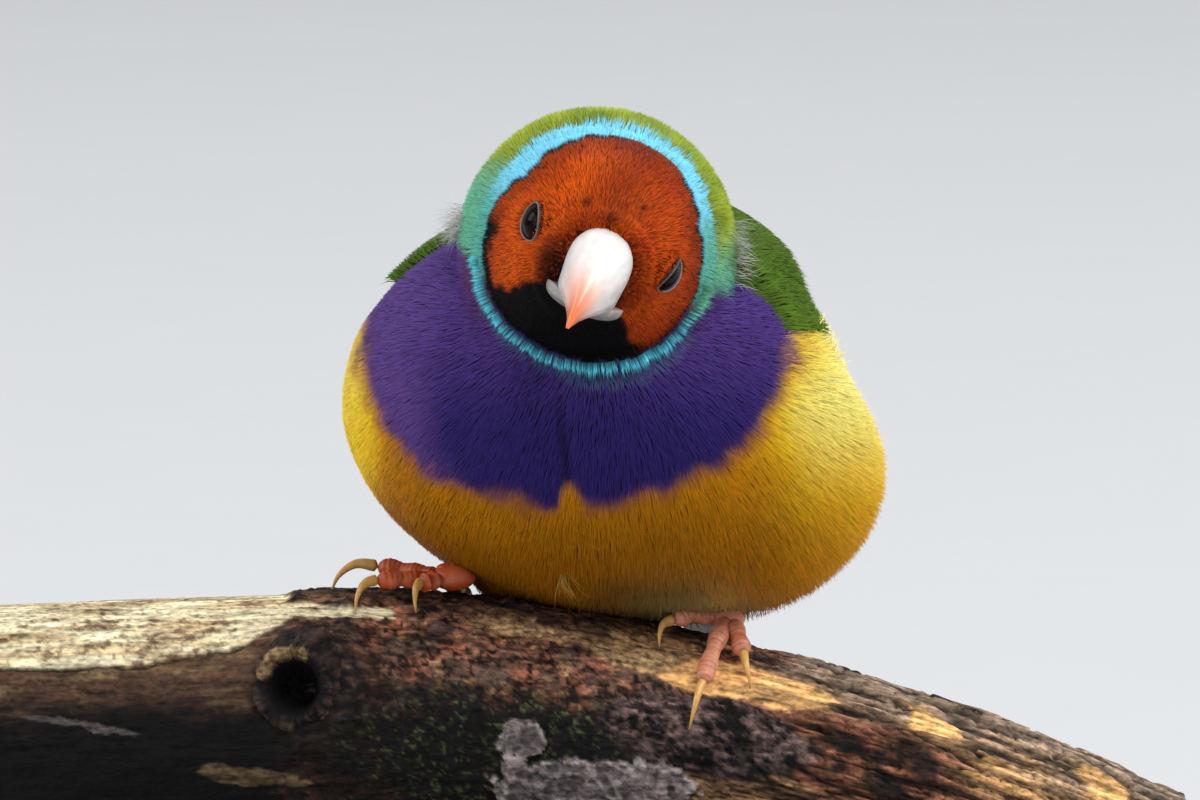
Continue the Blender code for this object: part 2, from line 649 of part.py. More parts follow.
def vane(name, place, width, paint, stations=5, pointed=0.25):
    """A feather: place(s, across, face) gives points of its under face, 0, and its upper face, 1."""
    rings = []
    for s in np.linspace(0, 1, stations):
        blunt = math.sqrt(max(0.0, 1 - max(0.0, (s - (1 - pointed)) / pointed) ** 2))
        half = 0.5 * width * min(1.0, VANE_QUILL_SHARE + 1.5 * s) * max(blunt, VANE_TIP_SHARE)
        under = [place(s, across, 0) for across in (half, 0.0, -half)]
        upper = [place(s, across, 1) for across in (-half, 0.0, half)]
        rings.append(np.array(under + upper))
    return build(name, rings, paint, ("flat", "flat"))


def tucked(side_name, t, degrees):
    """The angle round the body at which that wing has its place at t and degrees."""
    fade = np.clip(1 + t / TUCK_FADE, 0, 1)
    return SIDES[side_name] * np.radians(degrees - WING_TUCK[side_name] * fade)


def wing_vane(name, side_name, root, tip, width, layer):
    """One wing feather, laid on the body from its root to its tip."""

    def place(s, across, face):
        t = root[0] + (tip[0] - root[0]) * s
        angle = root[1] + (tip[1] - root[1]) * s
        share = t / (BREAST_REACH if t > 0 else WING_REACH)
        fullness = math.sqrt(1 - share**2) if t > 0 else 1 - share**2
        round_by = math.degrees(across / (BACK_ROUNDNESS * max(fullness, 0.2)))
        upper = WING_CORE_THICKNESS + 0.2 + layer * VANE_STEP * (1 - 0.4 * s)
        thick = VANE_THICKNESS + (VANE_ROOT_THICKNESS - VANE_THICKNESS) * (1 - s)
        under = max(VANE_UNDER_GAP + 0.04 * layer, upper - thick)
        lift = WING_LIFT + (upper if face else under)
        return body_point(t, tucked(side_name, t, angle + round_by), WING_REACH, lift)

    return vane(name, place, width, "wing_green")


def wing_core(side_name):
    """The flesh of the folded wing: a plate that lies on the body under all its feathers."""
    across = np.linspace(-1, 1, 9)
    rings = []
    for t in np.linspace(WING_CORE_AT[0], WING_CORE_AT[-1], 11):
        low, high = (smooth(t, WING_CORE_AT, edge) for edge in (WING_CORE_LOW, WING_CORE_HIGH))
        angles = tucked(side_name, t, (low + high) / 2 + (high - low) / 2 * across)
        outer = WING_LIFT + WING_CORE_THICKNESS * (1 - 0.4 * across**4)
        upper = body_point(t, angles, WING_REACH, outer)
        under = body_point(t, angles[::-1], WING_REACH, WING_LIFT)
        rings.append(np.vstack([upper, under]))
    return build("wing_core", rings, "wing_green", ("flat", "flat"))


def make_wing(side_name):
    """A folded wing: its core, with tiers of vanes laid over one another and fused into one body."""
    pieces = []
    for tier, count, roots, tips, widths, layer in WING_TIERS:
        for k in range(count):
            share = k / (count - 1)
            root = [a + (b - a) * share for a, b in zip(*roots)]
            tip = [a + (b - a) * share for a, b in zip(*tips)]
            width = widths[0] + (widths[1] - widths[0]) * share
            pieces.append(wing_vane(f"{tier}_{k}", side_name, root, tip, width, layer + 0.55 * k))
    wing = fuse(wing_core(side_name), pieces)
    wing.name = f"wing_{side_name}"
    return wing


def tail_frame():
    """Where the tail leaves the body, and the directions along it, to its left and up from it."""
    frame = turned(BODY, turn_left=TAIL_TURN_LEFT, pitch_up=TAIL_DROP)
    return BODY_CENTRE + np.array((BODY_END - CUT_GAP, 0.0, 0.0)) @ BODY, frame


def tail_core():
    """Where rump feathers narrow into the tail: it starts as the body's own cut end."""
    root, frame = tail_frame()
    phi = ellipse_ring(24)
    start = body_point(BODY_END, phi) + np.array((-CUT_GAP, 0.0, 0.0)) @ BODY
    local = (start - root) @ frame.T
    rings = [start]
    width, height = TAIL_CORE_END
    for s in (0.12, 0.3, 0.5, 0.75, 1.0):
        target = np.stack([np.zeros(24), width * np.sin(phi), height * np.cos(phi)], axis=1)
        ring = local * (1 - s) + target * s
        ring[:, 0] = -TAIL_CORE_LENGTH * s + local[:, 0] * (1 - s)
        rings.append(root + ring @ frame)
    return build("tail_core", rings, "tail_black", ("flat", "flat"))


def tail_vane(name, start, length, side, fan, width, height, pointed, arch=0.0):
    """A tail feather that leaves the root at start along the tail, turned out by fan degrees."""
    root, frame = tail_frame()
    a = math.radians(fan)

    def place(s, across, face):
        back = start + (length - start) * s
        out = side + (back - start) * math.tan(a)
        camber = -TAIL_CAMBER * across**2
        rise = height + arch * (1 - s) ** 2 + VANE_THICKNESS * face
        local = np.array((-back, out + across, TAIL_ROOT_UP + rise + camber))
        return root + local @ frame

    return vane(name, place, width, "tail_black", pointed=pointed)


def make_tail():
    """Twelve tail feathers, the middle pair on top and drawn out to points, with coverts over and under."""
    pieces = []
    for k, (length, width, fan, side) in enumerate(zip(TAIL_LENGTHS, TAIL_WIDTHS, TAIL_FAN, TAIL_ROOT_SIDE)):
        pointed = 0.75 if k == 0 else 0.35
        for hand in (1, -1):
            layer = -VANE_STEP * (k + (0.5 if hand > 0 else 0.0))
            name = f"rectrix_{k}_{hand}"
            pieces.append(tail_vane(name, TAIL_START, length, hand * side, hand * fan, width, layer, pointed))
    for k, (length, fan, width) in enumerate(COVERTS_ABOVE):
        pieces.append(tail_vane(f"covert_{k}", 1.0, length, fan * 0.08, fan, width, 0.4 + 0.2 * k, 0.5, 4.6))
    for k, (length, fan, width) in enumerate(COVERTS_BELOW):
        drop = -VANE_STEP * 6 - 0.4 - 0.25 * k
        pieces.append(tail_vane(f"undercovert_{k}", 1.0, length, fan * 0.08, fan, width, drop, 0.5, -3.6))
    tail = fuse(tail_core(), pieces)
    tail.name = "tail"
    return tail


def make_base():
    """A flat plate with round corners and a bevelled upper edge."""
    corners = []
    for cx, cy, start in ((1, 1, 0), (-1, 1, 90), (-1, -1, 180), (1, -1, 270)):
        for a in np.radians(start + np.linspace(0, 90, 7)):
            x = cx * (BASE_LENGTH / 2 - BASE_CORNER) + BASE_CORNER * math.cos(a)
            y = cy * (BASE_DEPTH / 2 - BASE_CORNER) + BASE_CORNER * math.sin(a)
            corners.append((x, y))
    outline = np.array(corners)
    shrink = 1 - 2 * BASE_BEVEL / np.array((BASE_LENGTH, BASE_DEPTH))
    rings = []
    for z, scale in ((0.0, 1.0), (BASE_THICKNESS - BASE_BEVEL, 1.0), (BASE_THICKNESS, shrink)):
        rings.append(np.column_stack([outline * scale, np.full(len(outline), z)]))
    base = build("stand_base", rings, "base_wood", ("flat", "flat"))
    holes = []
    for x in ROD_PLACES:
        path = ((x, PERCH_Y, BASE_THICKNESS - ROD_SINK), (x, PERCH_Y, BASE_THICKNESS + 5.0))
        holes.append(tube("hole", path, (ROD_RADIUS + GAP,) * 2, "base_wood", sides=20, stations=2))
    return cut(base, holes)


def make_rods(perch):
    """Two upright rods, sunk into blind holes in the base and in the branch."""
    rods, holes = [], []
    for name, x in zip(("stand_rod_left", "stand_rod_right"), ROD_PLACES):
        y, z, radius = perch_middle(x)
        top = float(z - radius + ROD_SINK)
        path = ((x, PERCH_Y, BASE_THICKNESS - ROD_SINK + GAP), (x, PERCH_Y, top - GAP))
        rods.append(tube(name, path, (ROD_RADIUS,) * 2, "rod_steel", sides=20, stations=2))
        path = ((x, PERCH_Y, top - 14.0), (x, PERCH_Y, top))
        holes.append(tube("hole", path, (ROD_RADIUS + GAP,) * 2, "bark", sides=20, stations=2))
    cut(perch, holes)
    return rods


def main():
    for obj in list(bpy.data.objects):
        bpy.data.objects.remove(obj)

    perch = make_perch()
    bark = [perch_ring(x, CUT_GAP) for x in np.linspace(*PERCH_ENDS, PERCH_STATIONS)]
    perch_outer = build("perch_outer", bark, "bark", ("flat", "flat"))
    make_rods(perch)
    make_base()

    torso, neck, head = make_torso(), make_neck(), make_head()
    neck_outer, head_outer = grown(neck), grown(head)
    for side in SIDES:
        cut(make_wing(side), [twin(neck_outer)])
    openings = [neck_outer, twin(head_outer), twin(perch_outer)]
    for side in SIDES:
        make_foot(side)
        foot_outer = make_foot(side, CUT_GAP)
        for claw in make_claws(side):
            cut(claw, [twin(foot_outer)])
        cut(make_leg(side), [twin(foot_outer), twin(perch_outer)])
        openings += [foot_outer, make_leg(side, CUT_GAP)]
    cut(torso, openings)
    cut(neck, [head_outer])
    bpy.data.objects.remove(perch_outer)

    for name, side in SIDES.items():
        cut(head, [socket_cutter(side)])
        fuse(head, [lid_ring(side)])
        make_eye(f"eye_{name}", side)
        cut(head, [make_eye("eye_opening", side, CUT_GAP)])
    cut(head, [grown(half) for half in make_bill()])

    make_tail()


main()
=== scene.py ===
# %% [markdown]
# # A male Gouldian finch, fluffed up on a cut branch
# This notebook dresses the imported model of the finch. The solids give every size and place, and each piece
# made here lies on them. All shapes are worked out in millimetres with numpy and put into meshes in metres.

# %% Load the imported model
import math
from types import SimpleNamespace

import bpy
import numpy as np
from mathutils import Matrix


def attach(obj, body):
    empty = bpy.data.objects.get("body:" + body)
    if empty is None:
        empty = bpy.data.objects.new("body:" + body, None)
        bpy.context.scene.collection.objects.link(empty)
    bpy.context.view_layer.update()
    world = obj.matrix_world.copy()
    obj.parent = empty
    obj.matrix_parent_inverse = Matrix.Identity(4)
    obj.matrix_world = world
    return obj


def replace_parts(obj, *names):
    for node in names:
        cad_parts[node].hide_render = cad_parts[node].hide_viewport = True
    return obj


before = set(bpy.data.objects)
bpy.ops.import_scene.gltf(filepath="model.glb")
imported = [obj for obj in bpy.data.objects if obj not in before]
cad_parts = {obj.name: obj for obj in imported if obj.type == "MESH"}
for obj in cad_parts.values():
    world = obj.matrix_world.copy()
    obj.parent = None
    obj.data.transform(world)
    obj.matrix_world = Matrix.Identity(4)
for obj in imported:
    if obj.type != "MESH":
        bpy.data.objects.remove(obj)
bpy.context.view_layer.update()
MM = 0.001
print("solids:", sorted(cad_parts))

# %% [markdown]
# ## Directions and named places
# The bird looks down over its breast with the head leant to one side. Its parts could be built upright and
# turned afterwards. Here the body and the head each have a frame of their own instead, three rows that say
# where forward, left and up are, so every point is made where it stays. The sizes are those of the solids.

# %% Frames of the viewer, the body and the head
def turned(rows, turn_left=0.0, pitch_up=0.0, lean_left=0.0):
    """The rows (forward, left, up) after a lean to the left, a nod up and a turn to the left, in degrees."""
    rows = np.array(rows, float)
    for i, j, degrees in ((1, 2, -lean_left), (0, 2, pitch_up), (0, 1, turn_left)):
        cos, sin = math.cos(math.radians(degrees)), math.sin(math.radians(degrees))
        rows[i], rows[j] = cos * rows[i] + sin * rows[j], cos * rows[j] - sin * rows[i]
    return rows


def in_frame(points, centre, rows):
    """How far forward, left and up of a centre the points are, in the frame of those rows."""
    return np.moveaxis((points - centre) @ rows.T, -1, 0)


PERCH_Y, PERCH_TOP = -6.0, 56.0
LEVEL = np.array(((0.0, -1.0, 0.0), (1.0, 0.0, 0.0), (0.0, 0.0, 1.0)))
TO_VIEWER = turned(LEVEL, pitch_up=6.0)
BODY = turned(turned(turned(LEVEL, turn_left=-11.0), pitch_up=20.0), lean_left=5.0)
HEAD = turned(TO_VIEWER, 4.0, -21.0, 22.7)
BODY_CENTRE = np.array((0.7, PERCH_Y + 4.0, PERCH_TOP + 20.7))
EYES_MIDDLE = np.array((0.1, PERCH_Y - 28.0, PERCH_TOP + 40.4))
NECK_CENTRE = EYES_MIDDLE + (-12.0, -0.4, 0.0) @ TO_VIEWER
BILL_BASE = EYES_MIDDLE + (5.5, 0.0, -1.0) @ HEAD
BILL = turned(HEAD, turn_left=-5.0)
THIGHS = {"left": (13.6, PERCH_Y + 3.5, PERCH_TOP + 6.0), "right": (-9.0, PERCH_Y + 3.5, PERCH_TOP + 6.5)}
LOOK_AT = np.array((0.0, PERCH_Y, PERCH_TOP + 21.8))
LOOK_FROM = 1000.0
PIXELS_PER_MM, EYES_PIXEL, PICTURE_WIDTH = 9.7, (601, 243), 1200
print("bill base", BILL_BASE.round(1), "neck centre", NECK_CENTRE.round(1))

# %% Curves, blends and noise
def smooth(x, knots, values):
    """A smooth curve through the values at the knots: cubic pieces that share a slope at each knot."""
    order = np.argsort(knots)
    knots, values = np.asarray(knots, float)[order], np.asarray(values, float)[order]
    slopes = np.gradient(values, knots)
    x = np.clip(np.asarray(x, float), knots[0], knots[-1])
    i = np.clip(np.searchsorted(knots, x) - 1, 0, len(knots) - 2)
    width = knots[i + 1] - knots[i]
    s = (x - knots[i]) / width
    ends = values[i] * (1 + 2 * s) * (1 - s) ** 2 + values[i + 1] * s**2 * (3 - 2 * s)
    return ends + width * (slopes[i] * s * (1 - s) ** 2 + slopes[i + 1] * s**2 * (s - 1))


def clip(x, low=0, high=1):
    """x kept between low and high."""
    return np.clip(x, low, high)


def step(low, high, x):
    """From 0 at low to 1 at high, by s*s*(3-2s)."""
    s = clip((np.asarray(x, float) - low) / (high - low))
    return s * s * (3 - 2 * s)


def bell(*shares):
    """exp(-x*x) for one share or exp(-x*x - y*y) for two: 1 at the middle, and near 0 two units out."""
    return np.exp(-sum(share**2 for share in shares))


def mix(first, second, share):
    """first + (second - first) * share, for rows of colours or of places."""
    return first + (second - first) * np.asarray(share, float)[..., None]


def layered(colour, *layers):
    """Colours laid one over another: each layer is a colour and the share of it that shows."""
    for over, share in layers:
        colour = mix(colour, over, share)
    return colour


def unit(vectors):
    """The vectors divided by their lengths."""
    return vectors / np.maximum(np.linalg.norm(vectors, axis=-1, keepdims=True), 1e-9)


def square_to(normal, vectors, share=1.0):
    """Unit vectors square to the normal: v less a share of (v.n) n, divided by its length."""
    return unit(vectors - (vectors * normal).sum(axis=-1, keepdims=True) * normal * share)


LATTICE = np.array((73856093, 19349663, 83492791))


def noise(points, size, seed=0):
    """Value noise from -1 to 1: random numbers on a lattice, blended by s*s*(3-2s) on each axis."""
    q = np.asarray(points, float) / size + 500.0
    cell = np.floor(q).astype(np.int64)
    part = q - cell
    part = part * part * (3 - 2 * part)
    total = np.zeros(q.shape[:-1])
    for corner in np.ndindex(2, 2, 2):
        h = (cell + corner) @ LATTICE + seed * 7919
        h = (h ^ (h >> 13)) * 1274126177
        h = (h ^ (h >> 16)) * 1103515245
        total += np.prod(np.where(corner, part, 1 - part), axis=-1) * (((h >> 8) & 0xFFFF) / 32767.5 - 1)
    return total


def seen(*colours):
    """Linear light of colours given as screen values from 0 to 255: about the power 2.2 of value / 255."""
    return np.power(np.array(colours, float) / 255.0, 2.2)


# %% Meshes from arrays
def grid_faces(rows, columns):
    """The quads of a grid of points counted row by row, whose last column joins the first."""
    r, c = np.meshgrid(np.arange(rows - 1), np.arange(columns), indexing="ij")
    d = (c + 1) % columns
    corners = (r * columns + c, r * columns + d, (r + 1) * columns + d, (r + 1) * columns + c)
    return np.stack(corners, axis=-1).reshape(-1, 4)


def tube_faces(n, s, k):
    """Faces of n closed tubes of s rings with k points each, with a fan on the middle of each end."""
    i = np.arange(k)
    j, top = (i + 1) % k, (s - 1) * k
    fans = (j, i, 0 * i + s * k), (top + i, top + j, 0 * i + s * k + 1)
    fans = np.concatenate([np.stack(fan, axis=1) for fan in fans])
    first = (np.arange(n) * (s * k + 2))[:, None, None]
    return [(grid_faces(s, k) + first).reshape(-1, 4), (fans + first).reshape(-1, 3)]


def with_middles(values, shape):
    """Values on the rings of that shape (tubes, rings, points round), then the mean of each end ring."""
    n, s, k = shape
    size = values.shape[3]
    values = np.broadcast_to(values, (n, s, k, size))
    middles = values[:, [0, -1]].mean(axis=2)
    return np.concatenate([values.reshape(n, s * k, size), middles], axis=1).reshape(-1, size)


def tube_unwrap(n, s, k, low, high):
    """Corners of the tubes' faces laid flat: each tube unrolled in a cell of its own, round by along."""
    across = math.ceil(math.sqrt(n))
    i = np.arange(k)
    r, c = np.meshgrid(np.arange(s - 1), i, indexing="ij")
    quads = np.stack([np.stack([c + x, r + y], -1) for x, y in ((0, 0), (1, 0), (1, 1), (0, 1))], axis=-2)
    quads = quads.reshape(-1, 4, 2) / (k, s - 1.0) * (0.9, 0.86) + (0.05, 0.07)
    ends = []
    for row, middle, order in ((0.06, 0.01, (1, 0)), (0.94, 0.99, (0, 1))):
        rim = np.stack([np.stack([(i + x) / k * 0.9 + 0.05, i * 0 + row], -1) for x in order], axis=1)
        ends.append(np.concatenate([rim, np.broadcast_to((0.5, middle), (k, 1, 2))], axis=1))
    cell = np.stack([np.arange(n) % across, np.arange(n) // across], axis=-1)[:, None, None]
    parts = quads, np.concatenate(ends)
    fitted = [((part + cell) / across).reshape(-1, part.shape[1], 2) for part in parts]
    return [np.array(low) + part * (np.array(high) - low) for part in fitted]


def tube_part(rings, colour, low=(0.0, 0.0), high=(1.0, 1.0)):
    """Points, faces, tint and bake map of closed tubes, whose map lies between the corners low and high."""
    shape = rings.shape[:3]
    points, tint = with_middles(rings, shape), with_middles(colour, shape)
    return points, tube_faces(*shape), tint, tube_unwrap(*shape, low, high)


def join(parts):
    """Parts (points, faces, tint, bake map) as one: corner numbers go up by the points that come before."""
    before = np.cumsum([0] + [len(part[0]) for part in parts])
    faces = [np.concatenate([part[1][k] + b for part, b in zip(parts, before)]) for k in range(2)]
    bake = [np.concatenate([part[3][k] for part in parts]) for k in range(2)]
    return np.concatenate([p[0] for p in parts]), faces, np.concatenate([p[2] for p in parts]), bake


def make_piece(name, part, finish, uvs=None, normals=None):
    """A mesh object from a part in millimetres, with its faces turned outwards.

    A closed surface's volume is the sum of a.(b x c) / 6 over its triangles; where it is negative, all turn.
    Its maps are given for each point, or as lists for each corner of each face.
    """
    points, faces, tint, bake = part
    maps = {
        map_name: uv if isinstance(uv, list) else [uv[f] for f in faces]
        for map_name, uv in (("Surface", uvs), ("OFBake", bake)) if uv is not None
    }
    volume = 0.0
    for f in faces:
        for k in range(1, f.shape[1] - 1):
            a, b, c = points[f[:, 0]], points[f[:, k]], points[f[:, k + 1]]
            volume += np.einsum("ij,ij->", a, np.cross(b, c)) / 6
    if volume < 0:
        faces = [f[:, ::-1] for f in faces]
        maps = {map_name: [corners[:, ::-1] for corners in uv] for map_name, uv in maps.items()}
    corners = np.concatenate([f.ravel() for f in faces])
    sizes = np.concatenate([np.full(len(f), f.shape[1]) for f in faces])
    mesh = bpy.data.meshes.new(name)
    mesh.vertices.add(len(points))
    mesh.vertices.foreach_set("co", (points * MM).astype(np.float32).ravel())
    mesh.loops.add(len(corners))
    mesh.loops.foreach_set("vertex_index", corners.astype(np.int32))
    mesh.polygons.add(len(sizes))
    mesh.polygons.foreach_set("loop_start", np.concatenate([[0], np.cumsum(sizes)[:-1]]).astype(np.int32))
    mesh.update(calc_edges=True)
    rgba = np.concatenate([clip(tint), np.ones((len(points), 1))], axis=1)
    layer = mesh.color_attributes.new("Tint", "FLOAT_COLOR", "POINT")
    layer.data.foreach_set("color", rgba.astype(np.float32).ravel())
    for map_name, uv in maps.items():
        layer = mesh.uv_layers.new(name=map_name)
        layer.data.foreach_set("uv", np.concatenate([corners.ravel() for corners in uv]).astype(np.float32))
    mesh.materials.append(finish)
    mesh.shade_smooth()
    if normals is not None:
        mesh.normals_split_custom_set_from_vertices(normals.astype(np.float32))
    piece = bpy.data.objects.new(name, mesh)
    bpy.context.scene.collection.objects.link(piece)
    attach(piece, "root")
    print(f"{name}: {len(points)} points, {int((sizes - 2).sum())} triangles, {abs(volume):.0f} mm3")
    return piece


# %% Helpers for node materials
def new_finish(name, **sockets):
    """A Principled material with those constants on its own sockets."""
    finish = bpy.data.materials.new(name)
    finish.use_nodes = True
    shader = finish.node_tree.nodes["Principled BSDF"]
    for socket, value in sockets.items():
        shader.inputs[socket.replace("_", " ")].default_value = value
    return finish


def add(finish, kind, links=(), **settings):
    """The first output of a node with its settings, whose inputs take the values or the sockets in links."""
    node = finish.node_tree.nodes.new(kind)
    for key, value in settings.items():
        setattr(node, key, value)
    for place, value in dict(links).items():
        if isinstance(value, bpy.types.NodeSocket):
            finish.node_tree.links.new(value, node.inputs[place])
        else:
            node.inputs[place].default_value = value
    return node.outputs[0]


def feed(finish, socket, value):
    """Links an output into the Principled shader."""
    shader = finish.node_tree.nodes["Principled BSDF"]
    finish.node_tree.links.new(value, shader.inputs[socket])


def stretched_noise(finish, scale, stretch=(1.0, 1.0, 1.0), detail=3.0):
    """A noise texture on the piece's own coordinates, finer along the axes with a larger stretch."""
    place = add(finish, "ShaderNodeTexCoord").node.outputs["Object"]
    fitted = add(finish, "ShaderNodeMapping", {"Vector": place, "Scale": stretch})
    return add(finish, "ShaderNodeTexNoise", {"Vector": fitted, "Scale": scale, "Detail": detail})


def ranged(finish, value, low, high, **ends):
    """The value from 0 to 1, or between other ends, spread over low to high."""
    links = {"Value": value, "To Min": low, "To Max": high}
    return add(finish, "ShaderNodeMapRange", {**links, **{f"From {end}": at for end, at in ends.items()}})


def times(finish, colour, value):
    """A colour multiplied by a value."""
    return add(finish, "ShaderNodeVectorMath", {0: colour, "Scale": value}, operation="SCALE")


def bumpy(finish, height, strength, distance):
    """Bump from a height, with its distance in metres."""
    feed(finish, "Normal", add(
        finish, "ShaderNodeBump", {"Height": height, "Strength": strength, "Distance": distance}
    ))


def tinted(finish, share):
    """Base colour from the piece's own Tint, multiplied by the share."""
    tint = add(finish, "ShaderNodeAttribute", attribute_name="Tint")
    feed(finish, "Base Color", times(finish, tint, share))


def mottled(name, tint, bump=None, rough=None, **sockets):
    """A finish made of noises, each given by its scale first.

    They shade the Tint, raise a bump (strength and metres last) and vary the roughness (low and high last).
    """
    finish = new_finish(name, **sockets)
    tinted(finish, ranged(finish, stretched_noise(finish, *tint), 0.82, 1.18))
    if rough:
        feed(finish, "Roughness", ranged(finish, stretched_noise(finish, rough[0]), *rough[1:]))
    if bump:
        bumpy(finish, stretched_noise(finish, *bump[:-2]), *bump[-2:])
    return finish


# %% [markdown]
# ## Markings
# A Gouldian finch wears a red-orange face, a black chin and rim, a turquoise collar, a purple breast, a
# yellow belly and a green back. They could be painted into an image. A function of the place on the bird is
# used instead, so that the skin, every feather over it and every side of the bird take one and the same
# marking.

# %% Colours of the plumage
ORANGE, RED, DARK_RED, BLACK = seen((214, 86, 6), (178, 62, 5), (96, 28, 8), (8, 7, 9))
TEAL, TURQUOISE, SKY = seen((106, 184, 148), (60, 188, 216), (130, 222, 255))
LIME, LEAF, MOSS = seen((164, 180, 58), (76, 104, 27), (46, 70, 22))
PURPLE, VIOLET, PLUM, INDIGO = seen((78, 55, 124), (94, 68, 134), (92, 50, 98), (50, 39, 104))
AMBER, YELLOW, STRAW, IVORY = seen((208, 135, 11), (255, 206, 40), (255, 234, 128), (200, 196, 132))
OCHRE, RUMP_BLUE, WHITE = seen((158, 98, 8), (88, 150, 205), (236, 236, 226))
RUST, VENT_PAINTED_SHADE = seen((160, 96, 54), (62, 46, 14))
MASK_AT = (10, 25, 45, 58, 80, 100, 119, 130, 146, 168, 181, 198, 213, 229, 251, 272, 287, 305, 325, 337, 348)
MASK_REACH = (
    10.9, 11.3, 12.1, 12.1, 11.5, 10.9, 10.15, 9.6, 10.3, 10.8, 11.2, 11.5, 11.65, 11.2, 11.1, 11.3, 11.65,
    12.0, 11.75, 11.75, 11.2,
)
MASK_ASIDE, MASK_BELOW = 1.1, 0.8
LEAN_COS, LEAN_SIN = 0.92, 0.386
CHIN_SIDE, CHIN_EDGE = (0.0, 4.3, 7.0, 9.0, 10.5, 12.0), (-5.0, -6.0, -8.0, -8.0, -6.5, -4.0)
NECK_SIDE_UP, NECK_SIDE = (-6, -1.5, 0, 2, 4), (-11.5, -13.2, -14.3, -14.8, -19)
BROW_SPOTS = ((-1.4, 3.9, 0.55), (1.1, 2.5, 0.5), (4.2, 3.4, 0.4))


# %% Where a place is on the face and on the body
EGG_FRONT, EGG_SIDE, EGG_TOP = 31.0, 28.3, 21.5
SKIN_REAR, WING_REAR = 50.0, 64.0
EYES_RIGHT, EYES_UP = 0.1, 16.2


def from_front(points):
    """Right, up and forward of the eyes' middle, as the viewer in front sees it with nearer things larger."""
    toward, right, up = in_frame(points, LOOK_AT, TO_VIEWER)
    larger = LOOK_FROM / (LOOK_FROM - toward)
    eyes = (EYES_MIDDLE - LOOK_AT) @ TO_VIEWER[0]
    return right * larger - EYES_RIGHT, up * larger - EYES_UP, toward - eyes


def past_mask(points):
    """Millimetres outside the edge of the face mask, and the angle round it from the viewer's right."""
    a, b, c = from_front(points)
    angle = np.degrees(np.arctan2(b + MASK_BELOW, a + MASK_ASIDE))
    reach = np.interp(angle, MASK_AT, MASK_REACH, period=360)
    reach = reach + 0.18 * np.sin(np.radians(angle) * 23) * np.sin(np.radians(angle) * 7)
    return np.hypot(a + MASK_ASIDE, b + MASK_BELOW) - reach + 0.6 * np.maximum(0, -(c + 3.5)), angle


def round_body(points):
    """Distance along the body's axis, and degrees round it from the back's ridge, positive on its left."""
    t, left, up = in_frame(points, BODY_CENTRE, BODY)
    return t, np.degrees(np.arctan2(left / EGG_SIDE, up / EGG_TOP))


# %% The markings
def shoulder_line(a):
    """How high the green of the wing's shoulder begins, over the breast and then level over the flank."""
    return -4.9 - 0.75 * (np.minimum(a, 18.5) - 13.8)


def body_colour(points):
    """Belly from amber through yellow, with painted straw highlight and painted ochre and umber shade; green
    back, blue rump and white under the tail.
    """
    a, b, c = from_front(points)
    t, phi = round_body(points)
    soft = noise(points, 6.0, 11)
    side = np.abs(phi) + 4 * soft
    green = mix(LEAF, MOSS, 0.5 + 0.5 * noise(points, 4.0, 5))
    over_flank = step(-0.8, 0.8, b - shoulder_line(a)) * step(11, 13, a)
    over_breast = step(-3, -1, b + 0.63 * (a + 17)) * (a < -14) * step(-6, -10, c)
    return layered(
        AMBER,
        (YELLOW, step(14, 20, a + 2 * soft) * step(-38, -14, b)),
        # Painted shade: ochre darkens the belly towards its bottom.
        (OCHRE, step(-20, -34, b + 2 * soft) * step(26, 10, a)),
        (YELLOW, step(-21.0, -24.0, a) * step(-32, -20, b)),
        # Painted highlights: straw lightens the edges of both flanks.
        (STRAW, 0.5 * step(-22.5, -25, a) * step(-20, -10, b)),
        (STRAW, step(18.0, 22.5, a + 1.5 * soft) * step(-27, -14, b)),
        (IVORY, clip(1.2 * bell((a - 8.5) / 6.5, (b + 40.5) / 4.2), 0, 0.9) * (c > -34)),
        # Painted shade: umber darkens the vent, low on the belly just above the branch.
        (VENT_PAINTED_SHADE, 0.55 * step(-32.5, -35.5, b) * step(-4, 2, a) * step(13, 8, a)),
        (WHITE, step(-32, -40, t) * step(100, 122, side)),
        (green, step(65, 55, side) * step(21, 15, t)),
        (green, np.maximum(over_flank, over_breast)),
        (RUMP_BLUE, step(-24, -29, t + soft) * step(72, 60, side)),
    )


def breast_colour(points, colour):
    """Lays the purple breast over the body: a blunt oval of power 2.4, parted down its middle."""
    a, b, c = from_front(points)
    ragged = 0.035 * noise(points, 1.6, 3) + 0.03 * noise(points, 5.0, 4)
    blunt = 2.4 - 0.4 * (a > -2.5) * (b < -9)
    oval = (np.abs((a + 2.5) / 22.0) ** blunt + np.abs((b + 9.0) / 17.7) ** blunt) ** (1 / blunt) + ragged
    oval = oval + step(0.2, 1.2, b - shoulder_line(a)) * step(11, 13, a)
    parting = -4.2 - 0.1 * clip(b + 14, -14, 0)
    edge = oval + 0.14 * bell((a - parting) / 1.1) * step(-20, -25, b)
    rusty = step(7.5, 1.0, past_mask(points)[0]) * step(-14, -4, b) * step(6, 12, np.abs(a + 1))
    purple = layered(
        PURPLE,
        (INDIGO, step(-8, -20, b + noise(points, 5.0, 8))),
        (VIOLET, step(-12, -20, a + 3 * noise(points, 7.0, 9))),
        (RUST, 0.35 * rusty * step(-9, -3, b) * (a < 0)),
        (PLUM, clip(0.75 * rusty + 0.25 * step(0.9, 0.98, oval))),
        # Painted shade: a dark line down the parting, low on the breast.
        (BLACK, 0.5 * bell((a - parting) / 0.5) * step(-12, -20, b)),
    )
    rusty_rim = 0.6 * step(1.06, 0.99, edge) * step(-29, -25, c) * (b < shoulder_line(a) - 2)
    return layered(colour, (RUST, rusty_rim), (purple, step(1.01, 0.94, edge) * step(-31, -27, c)))


